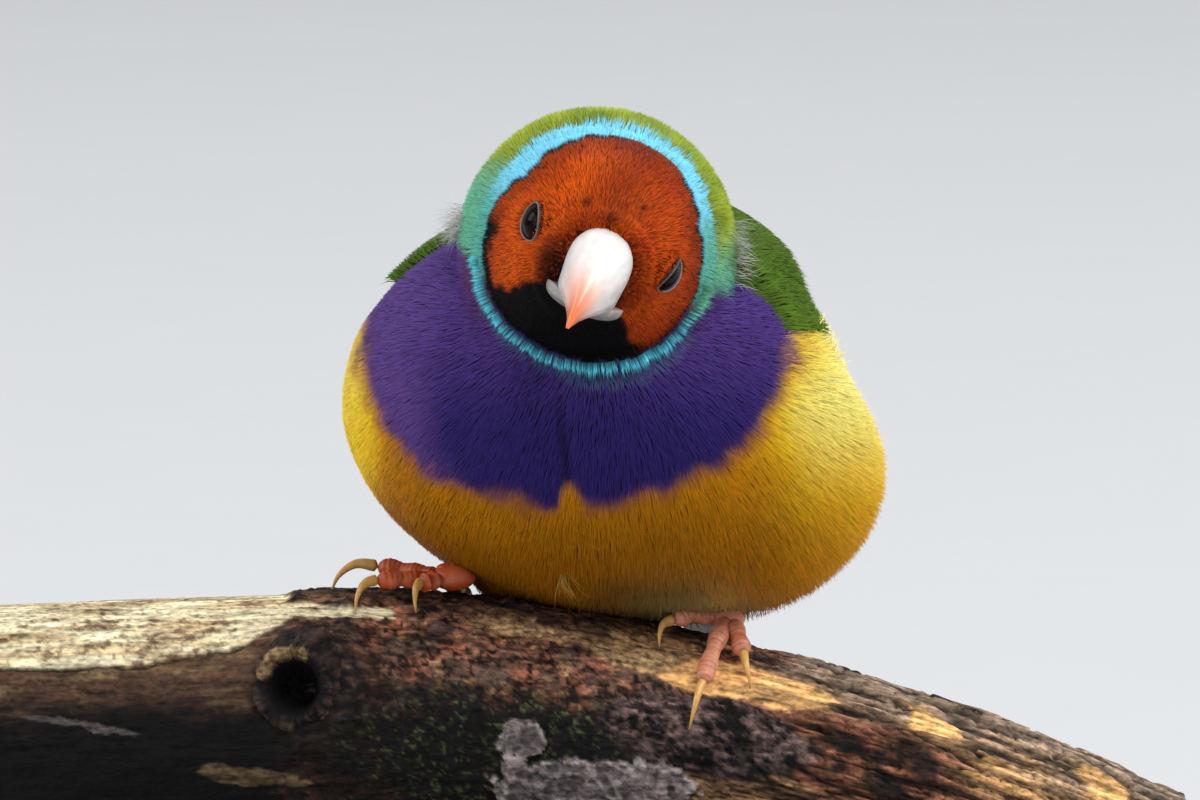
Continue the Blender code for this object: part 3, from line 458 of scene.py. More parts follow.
def neck_colour(points, colour):
    """Lays the neck's feathers over the body: teal on its right side, yellow-green over the top and left."""
    angle = past_mask(points)[1]
    a, b, c = from_front(points)
    ball = np.linalg.norm((points - NECK_CENTRE) * (1.0, 0.9, 1.0), axis=-1)
    reach = np.where(a > 4, 15.3, 16.4) + 0.5 * noise(points, 1.2, 2)
    near = step(reach + 0.7, reach - 0.7, ball) * clip(step(-22, -12, angle) + step(-168, -178, angle))
    near = near * (1 - step(12.4, 13.6, a) * step(2, -1, b))
    near = near * step(-0.7, 0.7, a - np.interp(b, NECK_SIDE_UP, NECK_SIDE))
    soft = noise(points, 3.0, 7)
    teal = step(-5, -11, a + soft) * step(10.5, 5, b + 1.5 * soft) + step(8, 12, a) * step(2, -3, b + soft)
    green = layered(
        LIME,
        (LEAF, 0.35 + 0.4 * noise(points, 2.0, 6)),
        (TEAL, clip(teal) * step(-30, -18, c)),
        (LEAF, step(-16, -27, c)),
    )
    return mix(colour, green, near)


def face_colour(points, colour):
    """Lays the collar, the black rim, the red-orange face and the black chin over the rest."""
    past, angle = past_mask(points)
    a, b = from_front(points)[:2]
    across, up = LEAN_COS * a - LEAN_SIN * b, LEAN_SIN * a + LEAN_COS * b
    left = clip(step(120, 150, angle) * step(200, 175, angle) + step(-158, -175, angle))
    width = 3.6 + 0.5 * np.sin(np.radians(angle)) - 0.8 * left - 0.4 * step(50, 15, np.abs(angle))
    bottom = step(-20, -35, angle) * step(-172, -160, angle)
    collar = step(width + 0.5, width - 0.3, past + 0.4 * noise(points, 0.6, 1)) * (1 - 0.9 * bottom)
    band = layered(
        SKY,
        (TURQUOISE, clip(step(30, -30, angle) + step(140, 170, angle))),
        (TEAL, 0.85 * step(-1.2, 1.6, past) * clip(step(30, 0, angle) + step(130, 165, angle))),
    )
    brow = bell(across / 2.6) * step(1.5, 4.0, up) * step(12, 8, up)
    cheek = 0.4 * bell((across - 4.5) / 2.5, (up + 4.0) / 2.5)
    # Black round the bill's base: partly the lores' own black, partly a painted shadow of the bill, strongest
    # below it and on the viewer's left.
    lore_and_bill_shadow = step(6.6, 4.8, np.hypot(across / 0.95, up + 2.9))
    edge = np.interp(np.abs(across), CHIN_SIDE, CHIN_EDGE) + 0.7 * noise(points, 1.0, 15)
    face = layered(
        ORANGE,
        (RED, clip(0.35 + 0.35 * step(-2, 5, a) + 0.5 * noise(points, 2.2, 21))),
        (DARK_RED, clip(0.55 * brow + 0.5 * step(-2.2, -0.2, past) + cheek, 0, 0.9)),
        (BLACK, lore_and_bill_shadow * (0.3 + 0.55 * step(0.5, -3.5, up) * step(2.0, -2.0, across))),
        (BLACK, step(edge + 0.8, edge - 0.5, up)),
        (BLACK, step(-1.4, -0.7, past + 0.4 * noise(points, 0.8, 16)) * step(155, 166, np.abs(angle))),
        *((BLACK, 0.85 * np.exp(-((a - x) ** 2 + (b - y) ** 2) / size**2)) for x, y, size in BROW_SPOTS),
    )
    return layered(colour, (band, collar), (BLACK, step(0.45, 0.15, past)), (face, step(0.1, -0.15, past)))


def markings(points):
    """The colour of the plumage at each place."""
    return face_colour(points, neck_colour(points, breast_colour(points, body_colour(points))))


# %% [markdown]
# ## The skin
# Under the feathers a bird is smaller than it looks. One closed skin for head, neck, body, thighs and rump
# avoids seams. It could be sculpted. Here rays leave a point inside the body, and each stops at the
# outermost place on the solids' forms, so the skin is a grid of directions whose lines run from the bill to
# the tail, just as the feather tracts do.

# %% Gaps from a place to each form
BODY_SWELLS = (
    # strength, spread, centre in the body's unit ball
    (0.10, 0.45, (-0.10, 0.80, -0.60)),
    (-0.20, 0.32, (-0.10, 0.90, 0.60)),
    (-0.27, 0.42, (-0.10, -0.62, 0.62)),
)
HEAD_AT = (6.3, 5.6, 4.2, 2.2, 0.0, -2.2, -4.5, -7.5, -10.5, -13.0)
HEAD_WIDTH = (0.0, 4.3, 6.3, 8.0, 9.5, 10.7, 11.6, 12.2, 10.8, 0.0)
HEAD_HEIGHT = (0.0, 4.6, 6.8, 8.8, 10.4, 11.7, 12.8, 13.5, 11.8, 0.0)
HEAD_CENTRE = (-1.0, -1.0, -1.2, -1.7, -2.3, -2.9, -3.6, -4.5, -5.0, -5.4)
TAIL_ROOT = BODY_CENTRE + np.array((-38.34, 0.0, 0.0)) @ BODY
TAIL = turned(BODY, turn_left=5.0, pitch_up=5.0)
TAIL_LONG, TAIL_WIDTHS, TAIL_HEIGHTS = 24.0, (11.6, 3.4), (8.8, 1.3)
NECK_SIZES, NECK_AHEAD, NECK_BEHIND = (1.0, 14.2, 14.2), 9.5, 16.0
THIGH_SIZES = np.array((6.0, 5.4, 6.2))
ROUND_OFF = 0.5


def ellipsoid_gap(local, sizes):
    """About how far points are outside an ellipsoid: their distance times (1 - 1 / scaled distance)."""
    scaled = np.maximum(np.linalg.norm(local / sizes, axis=-1), 1e-3)
    return np.linalg.norm(local, axis=-1) * (1 - 1 / scaled)


def ellipse_gap(left, up, width, height):
    """The same for an ellipse square to the form's axis."""
    scaled = np.maximum(np.hypot(left / width, up / height), 1e-3)
    return np.hypot(left, up) * (1 - 1 / scaled)


def swelling(forward, left, up):
    """How much wider than an egg the body is: 1 + the sum of strength * exp(-distance^2 / (2 spread^2))."""
    swell = 1.0
    for strength, spread, (f, l, u) in BODY_SWELLS:
        distance = (forward - f) ** 2 + (left - l) ** 2 + (up - u) ** 2
        swell = swell + strength * np.exp(-distance / (2 * spread**2))
    return swell


def egg_gap(points):
    """The fluffed body: an ellipsoid before its middle and a parabola of revolution behind, with swells."""
    t, left, up = in_frame(points, BODY_CENTRE, BODY)
    t = t + 1.3 * bell(left / 2.2) * clip(t / EGG_FRONT) * (up < 15)
    x, z = left / EGG_SIDE, up / EGG_TOP
    round_by = np.maximum(np.hypot(x, z), 1e-3)
    share = np.where(t > 0, t / EGG_FRONT, clip(t / SKIN_REAR, -0.995, 0))
    full = np.where(t > 0, np.sqrt(clip(1 - share**2, 0.0004, 1)), 1 - share**2)
    swell = swelling(t / EGG_FRONT, x / round_by * full, z / round_by * full)
    before = np.hypot(share, round_by / swell)
    ahead = np.linalg.norm(points - BODY_CENTRE, axis=-1) * (1 - 1 / np.maximum(before, 1e-3))
    behind = np.hypot(left, up) * (1 - full * swell / round_by)
    return np.where(t > 0, ahead, np.maximum(behind, -t - (SKIN_REAR - 0.5)))


def head_gap(points):
    """The head: at each place along it an ellipse with the named width, height and centre."""
    f, left, up = in_frame(points, EYES_MIDDLE, HEAD)
    width, height = (np.maximum(smooth(f, HEAD_AT, sizes), 0.4) for sizes in (HEAD_WIDTH, HEAD_HEIGHT))
    around = ellipse_gap(left, up - smooth(f, HEAD_AT, HEAD_CENTRE), width, height)
    return np.maximum(around, np.maximum(f - HEAD_AT[0], HEAD_AT[-1] - f))


def tail_gap(points):
    """The rump: an ellipse that narrows in a straight line from the body to the root of the tail feathers."""
    f, left, up = in_frame(points, TAIL_ROOT, TAIL)
    along = clip(-f / TAIL_LONG, -0.3, 1.0)
    width, height = (wide + (thin - wide) * along for wide, thin in (TAIL_WIDTHS, TAIL_HEIGHTS))
    return np.maximum(ellipse_gap(left, up, width, height), np.maximum(-f - TAIL_LONG, f - 8.0))


def flesh_gap(points):
    """The forms joined into one: -k log of the sum of exp(-gap / k) rounds the valleys between them."""
    ahead = (points - NECK_CENTRE) @ TO_VIEWER.T
    neck_sizes = NECK_SIZES + np.where(ahead[..., :1] > 0, NECK_AHEAD, NECK_BEHIND) * (1, 0, 0)
    gaps = [egg_gap(points), head_gap(points), tail_gap(points), ellipsoid_gap(ahead, neck_sizes)]
    for top in THIGHS.values():
        gaps.append(ellipsoid_gap((points - np.array(top)) @ BODY.T, THIGH_SIZES))
    stack = clip(-np.stack(gaps) / ROUND_OFF, -60, 60)
    return -ROUND_OFF * np.log(np.exp(stack).sum(axis=0))


# %% Rays from the middle of the body
INSIDE = np.array((0.4, -14.0, 84.0))
ROWS, COLUMNS = 230, 290
RAY_START, RAY_STEPS, RAY_SHARE = 85.0, 60, 0.6


def outermost(polar, around):
    """Where rays meet the form: each starts far out and steps in by a share of its gap, again and again."""
    to_bill = unit(BILL_BASE - INSIDE)
    sideways = unit(np.cross(to_bill, (0.0, 0.0, 1.0)))
    over = np.cross(sideways, to_bill)
    polar, around = polar[:, None, None], around[None, :, None]
    ring = np.cos(around) * over + np.sin(around) * sideways
    rays = np.cos(polar) * to_bill + np.sin(polar) * ring
    reach = np.full(rays.shape[:2], RAY_START)
    for _ in range(RAY_STEPS):
        reach -= RAY_SHARE * flesh_gap(INSIDE + rays * reach[..., None])
    return INSIDE + rays * reach[..., None]


coarse = np.linspace(0, math.pi, 160)
trial = outermost(coarse, np.linspace(0, 2 * math.pi, 48, endpoint=False))
steps = np.linalg.norm(np.diff(trial, axis=0), axis=2).mean(axis=1)
walked = np.concatenate([[0], np.cumsum(steps)])
polar = np.interp(np.linspace(0, walked[-1], ROWS), walked, coarse)
form = outermost(polar, np.linspace(0, 2 * math.pi, COLUMNS, endpoint=False))
form[0], form[-1] = form[0].mean(axis=0), form[-1].mean(axis=0)
low, high = form.min((0, 1)), form.max((0, 1))
print(f"bill to tail {walked[-1]:.0f} mm, form from {low.round(1)} to {high.round(1)}")


# %% Its normals and the lie of the feathers
def grid_directions(points):
    """The lie is the change from row to row, and the normal is square to it and to the next column."""
    down = np.gradient(points, axis=0)
    along = np.roll(points, -1, axis=1) - np.roll(points, 1, axis=1)
    normal = unit(np.cross(along, down))
    outward = np.sign(((points - INSIDE) * normal).sum(axis=-1, keepdims=True))
    normal = normal * np.where(outward == 0, 1, outward)
    normal[0], normal[-1] = unit(normal[1].mean(axis=0)), unit(normal[-2].mean(axis=0))
    return normal, square_to(normal, down)


out, lie = grid_directions(form)
past, angle = past_mask(form)
a, b, c = from_front(form)
t, phi = round_body(form)


# %% How deep and how long the coat is
from_bill = np.linalg.norm(form - BILL_BASE, axis=-1)
loose = step(15, 21, a) * step(2, -10, b) * step(-46, -30, c) * step(48, 60, np.abs(phi))
belly = step(-20, -32, b) * step(-6, 4, past)
depth = 0.35 + 0.25 * step(-0.3, 1.2, past) + 0.3 * step(3, 12, past) + 0.3 * belly + 0.4 * loose
length = 0.6 + 0.6 * step(4.5, 9, from_bill) + 0.5 * step(0, 3, past) + 1.0 * step(3, 14, past)
length = length + 1.0 * belly + 1.2 * loose
depth = depth + 0.8 * step(18, 24, a) * bell((b + 12.5) / 7)
print(f"coat {depth.min():.2f} to {depth.max():.2f} mm deep, up to {length.max():.1f} mm long")

# %% Where the eyes and their lids are
BALL, LID_EDGE = 2.45, 1.99


def eye_place(side):
    """An eye's centre and its frame (out, across, up): it looks sideways and a little forward."""
    outward = unit(np.array((0.5, side, 0.05)))
    up = square_to(outward, np.array((0.0, 0.0, 1.0)))
    centre = EYES_MIDDLE + np.array((1.6, side * 5.85, 0.4)) @ HEAD
    return centre, np.array((outward, np.cross(up, outward), up)) @ HEAD


EYES, LIDS = {"left": eye_place(1), "right": eye_place(-1)}, {}
for side, slope, narrow in (("left", 14.0, 0.62), ("right", 116.0, 0.84)):
    slit = math.cos(math.radians(slope)) * TO_VIEWER[1] + math.sin(math.radians(slope)) * TO_VIEWER[2]
    LIDS[side] = math.atan2(slit @ EYES[side][1][2], slit @ EYES[side][1][1]), narrow


def from_eye(points):
    """The smaller distance from the eyes' axes, stretched across the lids' slant to be even round them."""
    nearest = np.full(points.shape[:-1], 99.0)
    for side, (centre, rows) in EYES.items():
        outward, across, up = in_frame(points, centre, rows)
        slant, narrow = LIDS[side]
        along = across * np.cos(slant) + up * np.sin(slant)
        aside = up * np.cos(slant) - across * np.sin(slant)
        nearest = np.minimum(nearest, np.where(outward > -1, np.hypot(along, aside / narrow), 99.0))
    return nearest


eye_gap = from_eye(form)
socket = np.exp(-((eye_gap / 1.9) ** 8))
skin_points = form - (depth + socket)[..., None] * out
print("lids' slant", {side: round(math.degrees(slant)) for side, (slant, narrow) in LIDS.items()})

# %% Finish of skin and small feathers
plumage = mottled("plumage", (700.0,), rough=(1500.0, 0.6, 0.8), Roughness=0.7, Specular_IOR_Level=0.12)
down_skin = mottled("down_skin", (500.0,), (2500.0, 0.4, 0.0001), Roughness=0.85, Specular_IOR_Level=0.2)

# %% The skin's mesh
shape = (1, ROWS - 2, COLUMNS)
points = with_middles(skin_points[None, 1:-1], shape)
points[-2:] = skin_points[[0, -1], 0]
v, u = np.meshgrid(np.linspace(0, 1, ROWS), np.linspace(0, 1, COLUMNS, endpoint=False), indexing="ij")
flat = np.stack([u, v], axis=-1)[1:-1].reshape(-1, 2)
bake = np.concatenate([flat, [[0.5, 0.0], [0.5, 1.0]]])
# The skin takes the markings at 0.8 of their brightness, as painted shade under the coat.
part = (points, tube_faces(*shape), 0.8 * markings(points + 0.5), bake)
skin = make_piece("skin", part, down_skin)
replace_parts(skin, "head", "neck", "torso", "leg_left", "leg_right")

# %% [markdown]
# ## Small feathers
# What shows of a body feather is a soft lock of barbs. Hair curves would be quick but are lost when the
# model is exported. Each lock is a thin three-sided blade of ten triangles: its root sinks into the skin,
# its middle arches up and its tip lies down on the next one. Over a hundred thousand of them cover the
# bird.

# %% One blade for every root
BLADE_SIDES = np.array(((0, 1, 4, 3), (1, 2, 5, 4), (2, 0, 3, 5)))
BLADE_ENDS = np.array(((0, 2, 1), (3, 4, 6), (4, 5, 6), (5, 3, 6)))
PATCH_ALONG = np.array((-1, -1, -1, 0.2, 0.2, 0.2, 1)) * 0.0015
PATCH_ASIDE = np.array((-0.7, 0, 0.7, -1, 0, 1, 0)) * 0.0015
LEANS = ((-0.35, -0.1), (0, -0.1), (0.35, -0.1), (-0.35, 0.1), (0, 0.1), (0.35, 0.1), (0, 0.3))


def blades(root, lie, out, length, width, arch, tip_height):
    """Seven points a blade: a root ring 0.7 wide, a middle ring half way, raised by arch, and one tip."""
    across = np.cross(out, lie)
    sizes = length, width, arch, tip_height
    length, width, arch, tip_height = (np.broadcast_to(size, len(root))[:, None] for size in sizes)
    middle = root + 0.5 * length * lie + arch * out
    tip = root + length * lie + tip_height * out
    points = [root - 0.35 * width * across, root + 0.3 * width * out, root + 0.35 * width * across]
    points += [middle - 0.5 * width * across, middle + 0.3 * width * out, middle + 0.5 * width * across, tip]
    return np.stack(points, axis=1)


def blade_colours(at_middle, at_tip, rng, spread, painted_root_shade):
    """Seven colours a blade, each a little varied: the root darker as painted shade down in the coat, the
    middle as marked there and a little darker, the tip as marked there and lifted as painted light.
    """
    n = len(at_tip)
    spread, painted_root_shade = (np.broadcast_to(x, n)[:, None] for x in (spread, painted_root_shade))
    vary = 1 + spread[..., None] * (2 * rng.random((n, 1, 1)) - 1)
    vary = vary * (1 + 0.05 * rng.standard_normal((n, 1, 3)))
    # Painted shade at the root and a little at the middle, and painted light lifting the tip 1.15 times.
    shades = [painted_root_shade * at_middle] * 3 + [(0.75 + 0.25 * painted_root_shade) * at_middle] * 3 + [1.15 * at_tip]
    return np.stack(shades, axis=1) * vary


def blade_normals(direction, outward):
    """Soft shading: the skin's normal, leant a little to each side, back at the root and on at the tip."""
    across = np.cross(outward, direction)
    return unit(np.stack([outward + side * across + along * direction for side, along in LEANS], axis=1))


def blade_piece(name, points, colours, u, v, normals=None):
    """A piece of blades, each with a patch 0.003 across in its bake map, at its root's place (u, v)."""
    patches = np.stack([u[:, None] + PATCH_ASIDE, v[:, None] + PATCH_ALONG], axis=-1)
    first = (np.arange(len(points)) * 7)[:, None, None]
    faces = [(BLADE_SIDES + first).reshape(-1, 4), (BLADE_ENDS + first).reshape(-1, 3)]
    part = (points.reshape(-1, 3), faces, colours.reshape(-1, 3), patches.reshape(-1, 2))
    make_piece(name, part, plumage, normals=None if normals is None else normals.reshape(-1, 3))


def sow(density, rng):
    """Random places on the grid, as fractional rows and columns, with density roots on each square mm."""
    down = form[1:, :] - form[:-1, :]
    along = np.roll(form, -1, axis=1)[:-1] - form[:-1]
    area = np.linalg.norm(np.cross(down, along), axis=2)
    total = np.cumsum((area * density[:-1]).ravel())
    count = int(total[-1])
    cell = np.searchsorted(total, (np.arange(count) + rng.random(count)) / count * total[-1])
    cell = np.minimum(cell, len(total) - 1)
    return cell // COLUMNS + rng.random(count), cell % COLUMNS + rng.random(count)


def sample(field, row, column):
    """The field at fractional rows and columns, blended from its four neighbours."""
    r, c = np.floor(row).astype(int), np.floor(column).astype(int)
    shape = (-1,) + (1,) * (field.ndim - 2)
    y, x = (row - r).reshape(shape), (column - c).reshape(shape)
    r2, c, c2 = np.minimum(r + 1, ROWS - 1), c % COLUMNS, (c + 1) % COLUMNS
    first = field[r, c] * (1 - y) + field[r2, c] * y
    second = field[r, c2] * (1 - y) + field[r2, c2] * y
    return first * (1 - x) + second * x


# %% Sow the coat
LID_ROOM = 2.0
rng = np.random.default_rng(3)
round_by = np.abs(phi)
under_wing = (round_by > 30) & (round_by < 62) & (t < 6) & (t > -36) & (past > 8)
to_form = form - BILL_BASE
beside_bill = np.linalg.norm(to_form - (to_form @ HEAD[0])[..., None] * HEAD[0], axis=-1)
in_bill = (beside_bill < 3.8) & (c > 0)
in_front = step(-0.35, 0.1, out @ TO_VIEWER[0])
density = 30 - 8 * step(0, 3, past) - 7 * step(14, 26, past)
density = np.where(under_wing, 0.3, density * (0.25 + 0.75 * in_front)) * (~in_bill) * (eye_gap > 1.9)
row, column = sow(0.92 * density * (1 + 0.9 * step(4.2, 2.6, eye_gap)), rng)
root, outward, direction = sample(form, row, column), unit(sample(out, row, column)), sample(lie, row, column)
deep, long, shaggy, facing = (sample(field, row, column) for field in (depth, length, loose, in_front))
root = root - deep[:, None] * outward - 0.08 * outward
n = len(root)
turn = 0.14 * noise(root, 3.2, 31) + 0.10 * noise(root, 0.9, 32) + 0.07 * rng.standard_normal(n)
aside = np.cross(outward, direction)
direction = unit(direction * np.cos(turn)[:, None] + aside * np.sin(turn)[:, None])
long = long * (0.8 + 0.4 * rng.random(n))
eye_before, eye_after = from_eye(root), from_eye(root + long[:, None] * direction)
to_lid = clip((eye_before - LID_ROOM) / np.maximum(eye_before - eye_after, 0.01), 0.05, 1)
long = long * to_lid ** (eye_after < LID_ROOM)
from_mask = past_mask(root)[0]
bulge = 1 / np.where(from_mask < 3, 12.0, 27.0)
top = deep * (0.7 + 0.22 * rng.random(n) + 0.14 * noise(root, 2.4, 33)) + 0.1
tip_height = top - 0.5 * bulge * long**2 + shaggy * rng.random(n) * 0.9
arch = 0.66 * top - 0.125 * bulge * long**2
width = (0.105 + 0.045 * step(-0.5, 20, from_mask) + 0.1 * (1 - facing)) * (0.8 + 0.4 * rng.random(n))
print(n, "blades")

# %% The coat's pieces, tract by tract
CLEAR_OF_BALL, BLADES_A_PIECE = 2.66, 19500
points = blades(root, direction, outward, long, width, arch, tip_height)
for centre, rows in EYES.values():
    away = points[:, 3:] - centre
    far = np.linalg.norm(away, axis=-1, keepdims=True)
    inside = (far < CLEAR_OF_BALL) & (away @ rows[:1].T > 0)
    points[:, 3:] = centre + away * np.where(inside, CLEAR_OF_BALL / far, 1)
shown = 0.7 * long[:, None] * direction
in_face = step(0.5, -1.0, from_mask)
at_middle, at_tip = markings(root + 0.6 * shown), markings(root + shown)
bright = step(0.25, 0.6, at_tip[:, 1])
spread = 0.16 + 0.26 * in_face - 0.06 * bright
# The roots' painted shade is deepest on the face and lightest on bright yellow.
colours = blade_colours(at_middle, at_tip, rng, spread, 0.5 - 0.25 * in_face + 0.4 * bright)
soft = blade_normals(direction, outward)
root_t, root_phi = round_body(root)
root_a, root_b = from_front(root)[:2]
on_back = (np.abs(root_phi) < 66) & (root_t < 15)
TRACTS = ("face", "neck", "back", "breast", "belly")
tract = np.select([from_mask < 0.2, from_mask < 6.5, on_back, root_b > -27.5], TRACTS[:4], TRACTS[4])
for name in TRACTS:
    chosen = np.flatnonzero(tract == name)
    chosen = chosen[np.argsort(root_a[chosen], kind="stable")]
    for k, group in enumerate(np.array_split(chosen, math.ceil(len(chosen) / BLADES_A_PIECE))):
        u, v = column[group] / COLUMNS, row[group] / (ROWS - 1)
        blade_piece(f"coat_{name}_{k + 1}", points[group], colours[group], u, v, soft[group])

# %% [markdown]
# ## Plumes and wisps
# The outline of a fluffed bird is soft: single barbs stand out of the coat all over, and on the flanks long
# yellow plumes lie over the lower edge of the folded wing. Strands of hair would do for a picture alone.
# The coat's blades keep their shape in any viewer, so they are sown again, more thinly, longer and with
# their tips higher, and the plumes lean up towards the wing.

# %% Sow longer blades
def wisps(name, density, lean, long, rise, wide, seed, pale=0.0):
    """Blades that leave the coat along the lie plus lean, their tips raised by about rise times length."""
    rng = np.random.default_rng(seed)
    row, column = sow(density, rng)
    n = len(row)
    root, outward = sample(form, row, column), unit(sample(out, row, column))
    direction = sample(lie, row, column) + sample(lean, row, column) + 0.2 * rng.standard_normal((n, 3))
    direction = square_to(outward, direction)
    long = long * (0.6 + 0.6 * rng.random(n))
    tip = rise * long * (0.4 + 0.9 * rng.random(n)) + 0.6 - long**2 / 54
    points = blades(root - 0.6 * outward, direction, outward, long, wide, 0.55 * tip + 0.25, tip)
    colour = mix(markings(root), STRAW, pale)
    colours = blade_colours(colour, colour, rng, 0.2, 0.6)
    normals = blade_normals(direction, outward)
    blade_piece(name, points, colours, column / COLUMNS, row / (ROWS - 1), normals)


# %% Plumes on the flanks, wisps on body and head
still = np.zeros(form.shape)
upward = BODY[2] - (out @ BODY[2])[..., None] * out
along_wing = step(52, 58, round_by) * step(78, 68, round_by) * step(-30, -24, t) * step(15, 10, t)
along_wing = along_wing * (past > 7)
bare_body = (past > 6) & ~under_wing & (round_by > 66) & (t > -34)
tuft = bell((a + 4.4) / 0.4, (b + 34.4) / 0.5) * (c > -30)
wisps("plumes_left", 14 * along_wing * (phi > 0) * step(-8.0, -9.5, b), 0.8 * upward, 4.2, 0.3, 0.11, 51, 0.5)
wisps("plumes_right", 6 * along_wing * (phi <= 0), 0.6 * upward, 3.6, 0.15, 0.11, 52, 0.2)
wisps("wisps_body", bare_body * (0.4 * step(-14, -4, a) + 2.6 * step(10, 18, a)), still, 1.7, 0.36, 0.05, 53)
wisps("wisps_head", (past > -1) * (past < 6) * 3.0 * (b > -8), still, 1.3, 0.3, 0.05, 54)
wisps("wisps_belly", 20 * tuft, still + 0.35 * TO_VIEWER[1], 4.2, 0.2, 0.05, 55, 0.3)

# %% [markdown]
# ## Eyes and lids
# The eye is a wet, nearly black ball, and a ring of bare pale skin with a beaded rim holds it. A plain
# sphere would look like a button. The ball's colour changes from pupil to iris, and the lid is one rounded
# ring, its outline carried once round the eye's axis, that sinks under the face feathers.

# %% Balls and rings
def ball_part(centre, rows, sizes, rings=40, sides=56):
    """A ball's rings, pole to pole about its first axis: radius times (cos a, sin a cos b, sin a sin b)."""
    a = np.linspace(0.02, math.pi - 0.02, rings)[:, None]
    b = np.linspace(0, 2 * math.pi, sides, endpoint=False)[None]
    local = np.stack([np.cos(a) + 0 * b, np.sin(a) * np.cos(b), np.sin(a) * np.sin(b)], axis=-1) * sizes
    return (centre + local @ rows)[None]


wet_eye = mottled("wet_eye", (1800.0, (1.0, 1.0, 1.0), 5.0), Roughness=0.08, IOR=1.2, Specular_IOR_Level=0.35)
lid_skin = mottled("lid_skin", (2500.0,), (3500.0, 0.6, 0.00008), Roughness=0.5, Specular_IOR_Level=0.4)
EYE_BLACK, IRIS, LID_GREY, LID_DARK = seen((4, 3, 4), (26, 14, 9), (138, 134, 134), (34, 24, 22))

# %% Both eyes
LID_OUTLINE = np.array((
    # distance from the eye's axis and height over the ball's edge, round the ring's section
    (1.84, 1.46), (1.86, 1.60), (1.92, 1.70), (1.99, 1.72), (2.06, 1.66), (2.11, 1.54), (2.16, 1.38),
    (2.20, 1.16), (2.22, 0.85), (2.18, 0.60), (2.10, 0.60), (2.00, 0.80), (1.90, 1.15), (1.84, 1.46),
))
LID_ROUND, LID_ALONG, LID_BEADS = 40, 110, 40
knots = np.arange(len(LID_OUTLINE))
at = np.linspace(0, knots[-1], LID_ROUND, endpoint=False)
outline_radius, outline_height = (smooth(at, knots, LID_OUTLINE[:, k]) for k in range(2))
turn = np.linspace(0, 2 * math.pi, LID_ALONG, endpoint=False)[:, None]
bead = bell((outline_radius - LID_EDGE) / 0.1) * (outline_height > 1.5)
on_ball = np.minimum(outline_radius, 2.1)
for side, (centre, rows) in EYES.items():
    slant, narrow = LIDS[side]
    rings = ball_part(centre, rows, BALL)
    out_share = np.linspace(0.02, math.pi - 0.02, 40)[:, None]
    colour = mix(EYE_BLACK, IRIS, step(0.3, 0.36, out_share) * step(0.75, 0.6, out_share))
    colour = mix(colour[None], 0.6 * RED, step(2.02, 2.12, from_eye(rings)))
    eye = make_piece(f"eyeball_{side}", tube_part(rings, colour), wet_eye)
    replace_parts(eye, f"eye_{side}")

    squeeze = 1 / np.hypot(np.cos(turn - slant), np.sin(turn - slant) / narrow)
    over_ball = np.sqrt(BALL**2 - (on_ball * squeeze) ** 2)
    beads = np.cos(LID_BEADS * turn)
    height = outline_height + 0.025 * bead * beads + over_ball - np.sqrt(BALL**2 - on_ball**2)
    radius = (outline_radius + 0.012 * bead * beads) * squeeze
    local = np.stack([height, radius * np.cos(turn), radius * np.sin(turn)], axis=-1)
    corners = grid_faces(LID_ALONG + 1, LID_ROUND) % (LID_ALONG * LID_ROUND)
    colour = mix(LID_DARK, LID_GREY, bead * (0.75 + 0.25 * beads))
    part = ((centre + local @ rows).reshape(-1, 3), [corners], colour.reshape(-1, 3), None)
    make_piece(f"eyelid_{side}", part, lid_skin)

# %% [markdown]
# ## Bill
# A seed eater's bill is a deep smooth cone: white horn that turns pink and then orange at the hooked tip.
# It could be sculpted from a cone. Each half is lofted instead, so that its widths and heights stay named
# sizes: at every place along it an arch joins the two cutting edges, and a flat mouth face closes it.

# %% Loft of a half bill
UPPER_AT = (-2.0, 0.0, 1.2, 3.0, 5.0, 7.0, 8.8, 10.0, 10.7)
UPPER_WIDTH = (3.9, 4.25, 4.4, 4.1, 3.2, 2.0, 1.0, 0.5, 0.2)
UPPER_TOP = (4.3, 4.7, 4.8, 4.45, 3.5, 2.1, 0.4, -1.1, -2.4)
MOUTH_LINE = (-3.1, -2.4, -2.1, -1.95, -1.9, -2.0, -2.25, -2.5, -2.75)
LOWER_AT = (-1.6, 0.0, 1.1, 2.5, 4.0, 5.6, 6.8)
LOWER_WIDTH = (3.8, 4.1, 3.75, 2.85, 1.8, 1.0, 0.4)
LOWER_BOTTOM = (-4.8, -4.7, -4.3, -3.7, -3.1, -2.6, -2.3)
HORN, ROSE, TIP, GREY_HORN = seen((240, 236, 232), (250, 190, 168), (238, 122, 74), (196, 188, 180))


